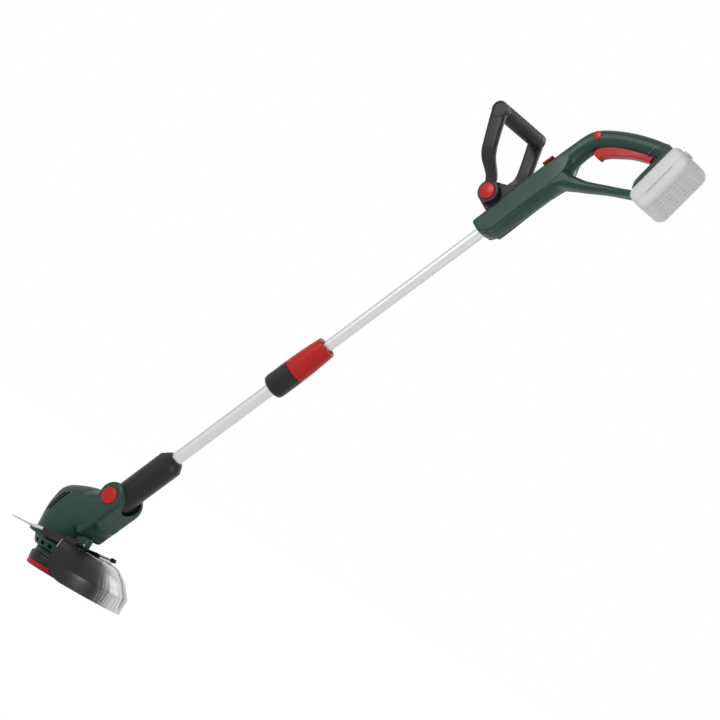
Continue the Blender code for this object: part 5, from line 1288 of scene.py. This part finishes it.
def handle_foot():
    sections = []
    for x, low, high, half_width in (
        (-0.0191, -0.0433, 0.0347, 0.0170),
        (-0.0101, -0.0513, 0.0440, 0.0240),
        (-CLEAR, -0.0553, 0.0455, 0.0300),
    ):
        middle = (low + high) / 2
        ring = superoval((high - low) / 2, half_width, 5.0, HANDLE_COUNT)
        sections.append([on_seat(x, b, middle + a) for a, b in ring])
    return skin("foot", sections)


def handle_boss():
    """The bearing of the second handle, tangent to the top of the housing."""
    reach = (BEARING_RADIUS, BEARING_RADIUS)
    outline = arc(BEARING_SPOT, reach, 3 * pi / 2, radians(126.2), 32)
    outline.extend([(-0.0150, 0.8660), (-0.0150, 0.8025)])
    return slab("boss", outline, FACE_HALF, TUBE_FRAME)


print("handle ribs ready")

# %% Openings of the handle
TRIGGER_PIVOT = joints["trigger_pull"]["pos_m"]
TRIGGER_HALF = 0.0080
TRIGGER_LUG = 0.0050
TRIGGER_SWING = radians(6.3)
TRIGGER_ROOM = 0.0006
YOKE_PIN_BORE = 0.0043
LOCK_POCKET = 0.0081
TONGUE_HALF = 0.0163
TONGUE_TOP = 0.0303


def trigger_outline(grow):
    """Side outline of the trigger; grown and swung up at the front, it is the slot."""
    px = TRIGGER_PIVOT[0]
    pz = TRIGGER_PIVOT[2]
    lower = [
        (0.5260, 1.0510),
        (0.5330, 1.0468),
        (0.5410, 1.0448),
        (0.5425, 1.0505),
        (0.5530, 1.0565),
        (0.5670, 1.0620),
        (0.5820, 1.0676),
        (0.5960, 1.0715),
        (0.6140, 1.0742),
        (0.6300, 1.0760),
    ]
    upper = [(0.6080, 1.0885), (0.5800, 1.0840), (0.5600, 1.0775), (0.5440, 1.0705), (0.5290, 1.0600)]
    radius = TRIGGER_LUG + grow
    lug = arc((px, pz), (radius, radius), radians(-75.0), radians(105.0), 16)
    if grow == 0:
        return flowing(lower[:3], 4) + flowing(lower[3:], 4) + lug + upper
    swung = []
    c = cos(TRIGGER_SWING)
    s = sin(TRIGGER_SWING)
    for x, z in upper:
        swung.append((px + (x - px) * c + (z - pz) * s, pz - (x - px) * s + (z - pz) * c))
    front = lower[0][0] - 0.0050
    lowered = [(x, z - 0.0300) for x, z in lower[1:-1]]
    tail = [(px - 0.0060, lower[-1][1] - 0.0260), (px + radius, lower[-1][1] - 0.0030)]
    return [(front, 1.0210), *lowered, *tail, *lug[8:], *swung, (front, 1.0730)]


def raised_faces():
    """The flat side faces, as two boxy skins that stand a little proud of the rounder body."""
    edge = [
        tube_rib(0.7740, 0.0125, -0.0085, FACE_HALF - 0.0012, 14.0),
        tube_rib(0.7763, 0.0145, -0.0112, FACE_HALF, 14.0),
        tube_rib(0.7870, 0.0152, -0.0165, FACE_HALF, 14.0),
        tube_rib(0.7957, 0.0155, -0.0211, FACE_HALF, 14.0),
        tube_rib(0.8570, 0.0170, -0.0192, FACE_HALF, 14.0),
        tube_rib(0.8980, 0.0180, -0.0191, FACE_HALF, 14.0),
        tube_rib(0.9300, 0.0180, -0.0185, FACE_HALF - 0.0001, 14.0),
        tube_rib(0.9500, 0.0165, -0.0130, 0.0209, 10.0),
        tube_rib(0.9640, 0.0150, -0.0050, 0.0190, 6.0),
        tube_rib(0.9740, 0.0100, -0.0020, 0.0150, 4.0),
    ]
    tongue = [
        (0.4860, 0.9900, 0.4846, 0.9556, 0.0216, 14.0),
        (0.4990, 0.9980, 0.4965, 0.9735, 0.0209, 14.0),
        (0.5100, 0.9985, 0.5075, 0.9825, 0.0194, 12.0),
        (0.5214, 0.9950, 0.5190, 0.9878, 0.0178, 10.0),
        (0.5400, 0.9962, 0.5412, 0.9920, 0.0155, 8.0),
    ]
    return [ribs_skin("face", edge, 4), ribs_skin("tongue", tongue, 4)]


def trigger_slot():
    return slab("trigger_slot", trigger_outline(TRIGGER_ROOM), TRIGGER_HALF + CLEAR)


def grip_seam():
    """The bead round the grip where the collar of the foot begins."""
    ribs = [
        (0.6428, 1.1167, 0.6200, 1.0826, 0.0175, 2.5),
        (0.6437, 1.1166, 0.6209, 1.0824, 0.0176, 2.5),
    ]
    return carved(ribs_skin("grip_seam_bead", ribs, 1), [trigger_slot()])


def handle_drills():
    drills = [drum("socket", UPPER_RADIUS + CLEAR, on_tube(0.7600), on_tube(0.9060))]
    drills.append(trigger_slot())
    low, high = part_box("trigger_switch")
    room = Vector((CLEAR, CLEAR, CLEAR))
    drills.append(block("switch_room", low - Vector((CLEAR, CLEAR, 0.0080)), high + room))
    low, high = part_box("lock_off_button")
    middle = (low + high) / 2
    start = Vector((middle.x, high.y + 0.0023, middle.z))
    drills.append(drum("lock_pocket", LOCK_POCKET, start, start - ACROSS * 0.0400))
    drills.append(block("slider_slot", (-0.0400, -0.0058, 0.9222), (-0.0165, 0.0058, 0.9503), TUBE_FRAME))
    drills.append(crosswise("front_pin_bore", YOKE_PIN_BORE, YOKE_PIVOT, 0.0400))
    low = (-0.0060, -TONGUE_HALF, -0.0403)
    drills.append(block("tongue_seat", low, (0.0200, TONGUE_HALF, TONGUE_TOP), SEAT_FRAME))
    for k in range(4):
        drills.extend(screw_drills(*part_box(f"handle_screw_{k + 1}")))
    drills.append(block("parting", (0.3, -SEAM_HALF, 0.7), (0.8, SEAM_HALF, 1.3)))
    return drills


def trimmed_foot(body):
    """The foot ends flat at the battery's seat."""
    return carved(body, [block("seat", (-CLEAR, -0.0600, -0.0900), (0.0500, 0.0600, 0.0900), SEAT_FRAME)])


def handle_core():
    """Body, bar and foot melted into one skin, with the crisp flat faces on it."""
    body = joined(handle_body(), [handle_bar(), handle_foot()])
    return trimmed_foot(joined(moulded(body, 0.0010, 5), raised_faces()))


def handle_housing():
    return carved(handle_core(), handle_drills())


def bearing_block():
    """The black block that the second handle turns on, cut to sit on the housing."""
    block_body = moulded(handle_boss(), 0.0008, 8)
    block_body.name = "second_handle_bearing"
    return carved(block_body, [handle_core(), crosswise("pin", YOKE_PIN_BORE, YOKE_PIVOT, 0.0400)])


housing = handle_housing()
bearing = bearing_block()
dressed(housing, GREEN, "handle", "green_housing", "handle_shell_left", "handle_shell_right")
dressed(bearing, BLACK, "handle", "black_plastic", "handle_shell_left", "handle_shell_right")
# The seam bead takes the pale grey that also paints the guard's rim highlight.
dressed(grip_seam(), RIM_HIGHLIGHT_AND_SEAM_GREY, "handle", "green_housing", "handle_shell_left", "handle_shell_right")

# %% [markdown]
# ## Trigger, lock-off button and slider
# The controls are red so that a hand finds them. The trigger is a long lever with a hooked nose; its
# edges are well rounded, because fingers rest on it. The slider is a narrow stem in its slot with a
# wide cap on top, and small round grooves across the cap leave ribs for the thumb.

# %% Controls


def trigger_lever():
    lever = eased(slab("trigger_lever", trigger_outline(0.0), TRIGGER_HALF), 0.0018, 4)
    return joined(lever, [crosswise("pin", 0.0020, Vector(TRIGGER_PIVOT), 0.0106, 32)])


def lock_button():
    low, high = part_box("lock_off_button")
    middle = (low + high) / 2
    stand = Matrix.Translation((middle.x, 0, middle.z)) @ Matrix.Rotation(radians(90.0), 4, "X")
    return lathe("lock_button_domed", domed_profile(0.0078, -low.y, -high.y, 0.0009, 0.0014), 72, stand)


def slider_cap():
    """A wide ribbed cap on a narrow stem, so that the thumb finds it from either side."""
    stem = block("slider_cap", (-0.0240, -0.0055, 0.9225), (-0.0165, 0.0055, 0.9440), TUBE_FRAME)
    cap = eased(block("cap", (-0.0278, -0.0162, 0.9225), (-0.0226, 0.0162, 0.9440), TUBE_FRAME), 0.0020, 5)
    drills = []
    for k in range(5):
        s = 0.9270 + 0.0031 * k
        low = on_tube(s, 0.0282, -0.0170)
        drills.append(drum("rib", 0.0009, low, low + ACROSS * 0.0340, 16))
    return carved(joined(stem, [cap]), drills)


dressed(trigger_lever(), RED, "trigger", "red_control", "trigger")
dressed(lock_button(), RED, "lock_off_button", "red_control", "lock_off_button")
dressed(slider_cap(), RED, "mode_slider", "red_control", "mode_slider")

# %% [markdown]
# ## Second handle
# A black frame with two cranked legs carries a round grip. The legs are skins over rounded oblongs that
# follow a curve from the grip's ends down to the lugs, then everything is melted together like the
# housings, so the legs run into the lugs without a crease. The bar's near end stands out past its leg
# and is dished, and its far end is shorter.

# %% Frame, grip and button
YOKE_HEIGHT = 0.1297
YOKE_HALF = 0.0738
LEG_FACE = 0.0712
YOKE_BAR_RADIUS = 0.0142
YOKE_CORE_RADIUS = 0.0112
GRIP_HALF = 0.0560
LUG_RADIUS = 0.0190
LUG_INNER = 0.0222
LUG_OUTER = 0.0330
DISH_DEPTH = 0.0016
YOKE_POCKET_DEPTH = 0.0075
YOKE_BUTTON_RADIUS = 0.0140


def on_yoke(x, y, z):
    return YOKE_FRAME @ Vector((x, y, z))


def yoke_leg(side):
    stations = [
        (side * 0.0672, YOKE_HEIGHT + 0.0010, 0.0139, 0.0062),
        (side * 0.0670, YOKE_HEIGHT - 0.0100, 0.0139, 0.0062),
        (side * 0.0664, 0.1060, 0.0136, 0.0063),
        (side * 0.0645, 0.0760, 0.0130, 0.0063),
        (side * 0.0615, 0.0580, 0.0130, 0.0063),
        (side * 0.0540, 0.0465, 0.0122, 0.0062),
        (side * 0.0400, 0.0350, 0.0105, 0.0060),
        (side * 0.0310, 0.0250, 0.0098, 0.0056),
        (side * 0.0277, 0.0100, 0.0098, 0.0052),
    ]
    fine = flowing(stations, 5)
    sections = []
    for k, (y, z, half_width, half_thick) in enumerate(fine):
        before = fine[max(k - 1, 0)]
        after = fine[min(k + 1, len(fine) - 1)]
        along = Vector((0, after[0] - before[0], after[1] - before[1])).normalized()
        through = along.cross(Vector((1, 0, 0)))
        ring = []
        for a, b in superoval(half_width, half_thick, 4.2, 40):
            ring.append(YOKE_FRAME @ (Vector((-0.0015 + a, y, z)) + through * b))
        sections.append(ring)
    return skin("leg", sections)


def second_frame():
    inner = GRIP_HALF + CLEAR
    low = on_yoke(0, -0.0700, YOKE_HEIGHT)
    high = on_yoke(0, 0.0700, YOKE_HEIGHT)
    frame_bar = drum("second_handle_frame", YOKE_CORE_RADIUS, low, high, 96)
    forms = []
    for side in (-1, 1):
        low = on_yoke(0, side * inner, YOKE_HEIGHT)
        high = on_yoke(0, side * (YOKE_HALF if side < 0 else LEG_FACE), YOKE_HEIGHT)
        end = drum("end", YOKE_BAR_RADIUS, low, high, 96)
        lug = drum("lug", LUG_RADIUS, on_yoke(0, side * LUG_INNER, 0), on_yoke(0, side * LUG_OUTER, 0), 96)
        forms.extend([end, yoke_leg(side), lug])
    body = moulded(joined(frame_bar, forms), 0.0008, 4)
    pocket = LUG_OUTER - YOKE_POCKET_DEPTH
    outside = on_yoke(0, -0.0500, 0)
    dish = on_yoke(0, -YOKE_HALF + DISH_DEPTH, YOKE_HEIGHT)
    grip_room = [
        (YOKE_BAR_RADIUS + 0.0020, GRIP_HALF + CLEAR),
        (YOKE_BAR_RADIUS + 0.0020, -GRIP_HALF - CLEAR),
        (YOKE_CORE_RADIUS, -GRIP_HALF - CLEAR),
        (YOKE_CORE_RADIUS, GRIP_HALF + CLEAR),
    ]
    stand = YOKE_FRAME @ Matrix.Translation((0, 0, YOKE_HEIGHT)) @ Matrix.Rotation(radians(90.0), 4, "X")
    return carved(body, [
        lathe("grip_room", grip_room, 96, stand),
        drum("bore", YOKE_PIN_BORE, outside, on_yoke(0, pocket + CLEAR, 0)),
        drum("button_pocket", YOKE_BUTTON_RADIUS + 0.0004, outside, on_yoke(0, -pocket, 0), 96),
        drum("end_dish", YOKE_BAR_RADIUS - 0.0026, on_yoke(0, -0.1000, YOKE_HEIGHT), dish, 96),
    ])


def second_grip():
    profile = []
    for k in range(25):
        y = GRIP_HALF - 2 * GRIP_HALF * k / 24
        crown = 0.0004 * (1 - (y / GRIP_HALF) ** 8)
        profile.append((YOKE_BAR_RADIUS - 0.0004 + crown, y))
    profile.append((YOKE_CORE_RADIUS + CLEAR, -GRIP_HALF))
    profile.append((YOKE_CORE_RADIUS + CLEAR, GRIP_HALF))
    stand = YOKE_FRAME @ Matrix.Translation((0, 0, YOKE_HEIGHT)) @ Matrix.Rotation(radians(90.0), 4, "X")
    return lathe("second_handle_sleeve", profile, 96, stand)


def second_button():
    low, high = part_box("front_handle_button")
    stand = Matrix.Translation(YOKE_PIVOT) @ Matrix.Rotation(radians(90.0), 4, "X")
    profile = domed_profile(YOKE_BUTTON_RADIUS, -low.y, -high.y, 0.0016, 0.0022)
    return lathe("second_handle_button_domed", profile, 96, stand)


dressed(second_frame(), FRAME_BLACK, "front_handle", "black_plastic", "front_handle_frame")
dressed(second_grip(), GRIP, "front_handle", "soft_grip", "front_handle_grip")
dressed(second_button(), RED, "front_handle_button", "red_control", "front_handle_button")

# %% [markdown]
# ## Battery
# The pack is a pale block with generous corners. Each side face has a long groove beside the parting
# line between base and case, and the outer face has rows of short grip slots. The block is rounded
# first, then the grooves, the slots and the parting are cut, so all their edges stay crisp.

# %% Battery block and its slots
BATTERY_DEPTH = 0.0470
BATTERY_HALF = 0.0375
BATTERY_LOW = -0.0600
BATTERY_HIGH = 0.0520
GROOVE_SPAN = (0.0278, 0.0294)
GROOVE_REACH = (-0.0360, 0.0230)
GROOVE_DEPTH = 0.0011
SLOT_DEPTH = 0.0009
PARTING = 0.0265
SLOT_COLUMNS = (-0.0350, -0.0150, 0.0050, 0.0250)
SLOT_LENGTH = 0.0118
SLOT_ROWS = (-0.0285, -0.0171, -0.0057, 0.0057, 0.0171, 0.0285)
SLOT_WIDTH = 0.0042


def battery_block():
    outline = filleted([
        (0.0, BATTERY_LOW, 0.0135),
        (BATTERY_DEPTH, BATTERY_LOW, 0.0160),
        (BATTERY_DEPTH, BATTERY_HIGH, 0.0160),
        (0.0, BATTERY_HIGH, 0.0125),
    ])
    return eased(slab("battery_block", outline, BATTERY_HALF, SEAT_FRAME), 0.0085, 10)


def side_drills():
    """The grooves of both side faces, and the grip slots of the outer face."""
    drills = []
    for side in (-1, 1):
        face = side * BATTERY_HALF
        low = (GROOVE_SPAN[0], face - GROOVE_DEPTH, GROOVE_REACH[0])
        high = (GROOVE_SPAN[1], face + GROOVE_DEPTH, GROOVE_REACH[1])
        drills.append(eased(block("groove", low, high, SEAT_FRAME), 0.0005, 2))
    for z in SLOT_COLUMNS:
        for y in SLOT_ROWS:
            low = (BATTERY_DEPTH - SLOT_DEPTH, y - SLOT_WIDTH / 2, z - SLOT_LENGTH / 2)
            high = (BATTERY_DEPTH + SLOT_DEPTH, y + SLOT_WIDTH / 2, z + SLOT_LENGTH / 2)
            drills.append(eased(block("slot", low, high, SEAT_FRAME), 0.0007, 2))
    return drills


def battery_base():
    base = battery_block()
    base.name = "battery_base_moulded"
    cut_case = block("case", (PARTING, -0.2, -0.2), (0.2, 0.2, 0.2), SEAT_FRAME)
    drills = [
        cut_case,
        block("web_slot", (-0.0100, -TONGUE_HALF, -0.0800), (0.0041, TONGUE_HALF, TONGUE_TOP), SEAT_FRAME),
        block("head_slot", (0.0032, -0.0213, -0.0800), (0.0068, 0.0213, TONGUE_TOP), SEAT_FRAME),
        block("catch_room", (0.0047, -0.0093, 0.0427), (0.0143, 0.0093, 0.0800), SEAT_FRAME),
    ]
    return carved(base, drills + side_drills())


def battery_case():
    case = battery_block()
    case.name = "battery_case_moulded"
    cut_base = block("base", (-0.2, -0.2, -0.2), (PARTING + CLEAR, 0.2, 0.2), SEAT_FRAME)
    return carved(case, [cut_base, *side_drills()])


def catch():
    low = (0.0050, -0.0090, 0.0460)
    high = (0.0140, 0.0090, 0.0552)
    piece = eased(block("battery_catch", low, high, SEAT_FRAME), 0.0012, 4)
    drills = []
    for k in range(3):
        start = on_seat(0.0070 + 0.0025 * k, -0.0070, 0.0554)
        drills.append(drum("rib", 0.0006, start, start + ACROSS * 0.0140, 12))
    return carved(piece, drills)


dressed(battery_base(), PALE, "battery", "pale_battery", "battery_base")
dressed(battery_case(), PALE, "battery", "pale_battery", "battery_case")
dressed(catch(), PALE, "battery_release", "pale_battery", "battery_release")

# %% [markdown]
# ## The nodes that keep their own shape
# Pins, screws, bearings, the motor and the other small pieces are right as they are packed. They only
# change their finish. A table from the record's slots to the finishes says which one each node takes.

# %% Finishes for the remaining nodes
BY_SLOT = {
    "green_housing": GREEN,
    "red_control": RED,
    "black_plastic": BLACK,
    "soft_grip": GRIP,
    "smoked_guard": SMOKE,
    "satin_tube": TUBE_METAL,
    "bright_steel": STEEL,
    "contact_brass": BRASS,
    "pale_battery": PALE,
    "line_nylon": LINE,
}
slot_of = {entry["node"]: entry["material_slot"] for entry in frame["record"]["subparts"]}
for name, node in nodes.items():
    for place in node.material_slots:
        place.material = BY_SLOT[slot_of[name]]
print("finished nodes:", len(nodes))

# %% [markdown]
# ## Floor, light and camera
# The trimmer stands in a white studio. The floor shows its own white to the camera and keeps a faint
# shadow. The world is white to the camera and in mirrors and glass, but lights the tool only weakly, so
# that the lamps can model its forms: one large soft lamp in front of the near side, a low one at the
# battery's side that picks out the undersides, and one behind that draws a light line along the edges.

# %% Floor and world
FLOOR_REACH = 30.0
FLOOR_WHITE = 0.74
FLOOR_GLOW = 1.27
SKY_LEVEL = 0.30
SKY_TINT = (0.97, 0.98, 1.0, 1.0)
WHITE = (1.0, 1.0, 1.0, 1.0)


def studio_floor():
    low = (-FLOOR_REACH, -FLOOR_REACH, -0.0020)
    floor = block("studio_floor", low, (FLOOR_REACH, FLOOR_REACH, -0.0010))
    on_show(floor)
    paper = Finish("studio_paper", (0.90, 0.90, 0.90), 0.90)
    paper.shader.inputs["Specular IOR Level"].default_value = 0.0
    seen = paper.rays("Is Camera Ray", "Is Glossy Ray")
    lit = Wave(paper, paper.shader.outputs[0])
    glow = paper.node("ShaderNodeEmission", None, {"Strength": FLOOR_GLOW})
    shown = paper.node("ShaderNodeMixShader", None, {0: seen * FLOOR_WHITE, 1: lit, 2: glow})
    paper.tree.links.new(shown.socket, paper.tree.nodes["Material Output"].inputs["Surface"])
    floor.data.materials.append(paper.material)


def studio_world():
    world = bpy.data.worlds.new("studio")
    bpy.context.scene.world = world
    world.use_nodes = True
    world.node_tree.nodes.clear()
    sky = Shading(world.node_tree)
    seen = sky.rays("Is Camera Ray", "Is Glossy Ray", "Is Transmission Ray")
    plain = sky.node("ShaderNodeBackground", None, {"Color": SKY_TINT, "Strength": SKY_LEVEL})
    white = sky.node("ShaderNodeBackground", None, {"Color": WHITE, "Strength": 1.0})
    mix = sky.node("ShaderNodeMixShader", None, {0: seen, 1: plain, 2: white})
    sky.node("ShaderNodeOutputWorld", None, {"Surface": mix})


studio_floor()
studio_world()
print("studio ready")

# %% Lamps
LOOK_AT = Vector((0.30, 0.0, 0.62))


def soft_lamp(name, place, size, power):
    lamp = bpy.data.lights.new(name, "AREA")
    lamp.shape = "DISK"
    lamp.size = size
    lamp.energy = power
    held = bpy.data.objects.new(name, lamp)
    bpy.context.scene.collection.objects.link(held)
    held.location = place
    held.rotation_euler = (LOOK_AT - Vector(place)).to_track_quat("-Z", "Y").to_euler()


soft_lamp("key_lamp", (-0.9, -3.4, 2.1), 1.4, 96.0)
soft_lamp("low_lamp", (3.2, -0.6, 0.25), 0.9, 34.0)
soft_lamp("back_lamp", (0.6, 3.0, 2.2), 1.2, 24.0)
print("lamps ready")

# %% [markdown]
# The camera stands well back with a long lens, slightly below the middle of the tool and a little to
# the user's left, and it is rolled, so that the tube runs from the lower left to the upper right.

# %% Camera
AZIMUTH = radians(36.0)
ELEVATION = radians(-2.8)
ROLL = radians(30.8)
CAMERA_PLACE = Vector((3.8541, -4.8486, 0.2803))
LENS = 181.8


def photo_camera():
    side = Vector((cos(AZIMUTH), sin(AZIMUTH), 0))
    back = Vector((sin(AZIMUTH) * cos(ELEVATION), -cos(AZIMUTH) * cos(ELEVATION), sin(ELEVATION)))
    up = back.cross(side)
    x_axis = cos(ROLL) * side + sin(ROLL) * up
    y_axis = -sin(ROLL) * side + cos(ROLL) * up
    lens = bpy.data.cameras.new("photo_camera")
    lens.lens = LENS
    lens.sensor_width = 36.0
    held = bpy.data.objects.new("photo_camera", lens)
    bpy.context.scene.collection.objects.link(held)
    stand = Matrix((x_axis, y_axis, back)).transposed().to_4x4()
    stand.translation = CAMERA_PLACE
    held.matrix_world = stand
    bpy.context.scene.camera = held


photo_camera()
bpy.context.scene.view_settings.view_transform = "Standard"
print("camera looks along", [round(v, 3) for v in (LOOK_AT - CAMERA_PLACE).normalized()])

bpy.data.collections.remove(BENCH)
print("pieces made:", len(made_pieces))
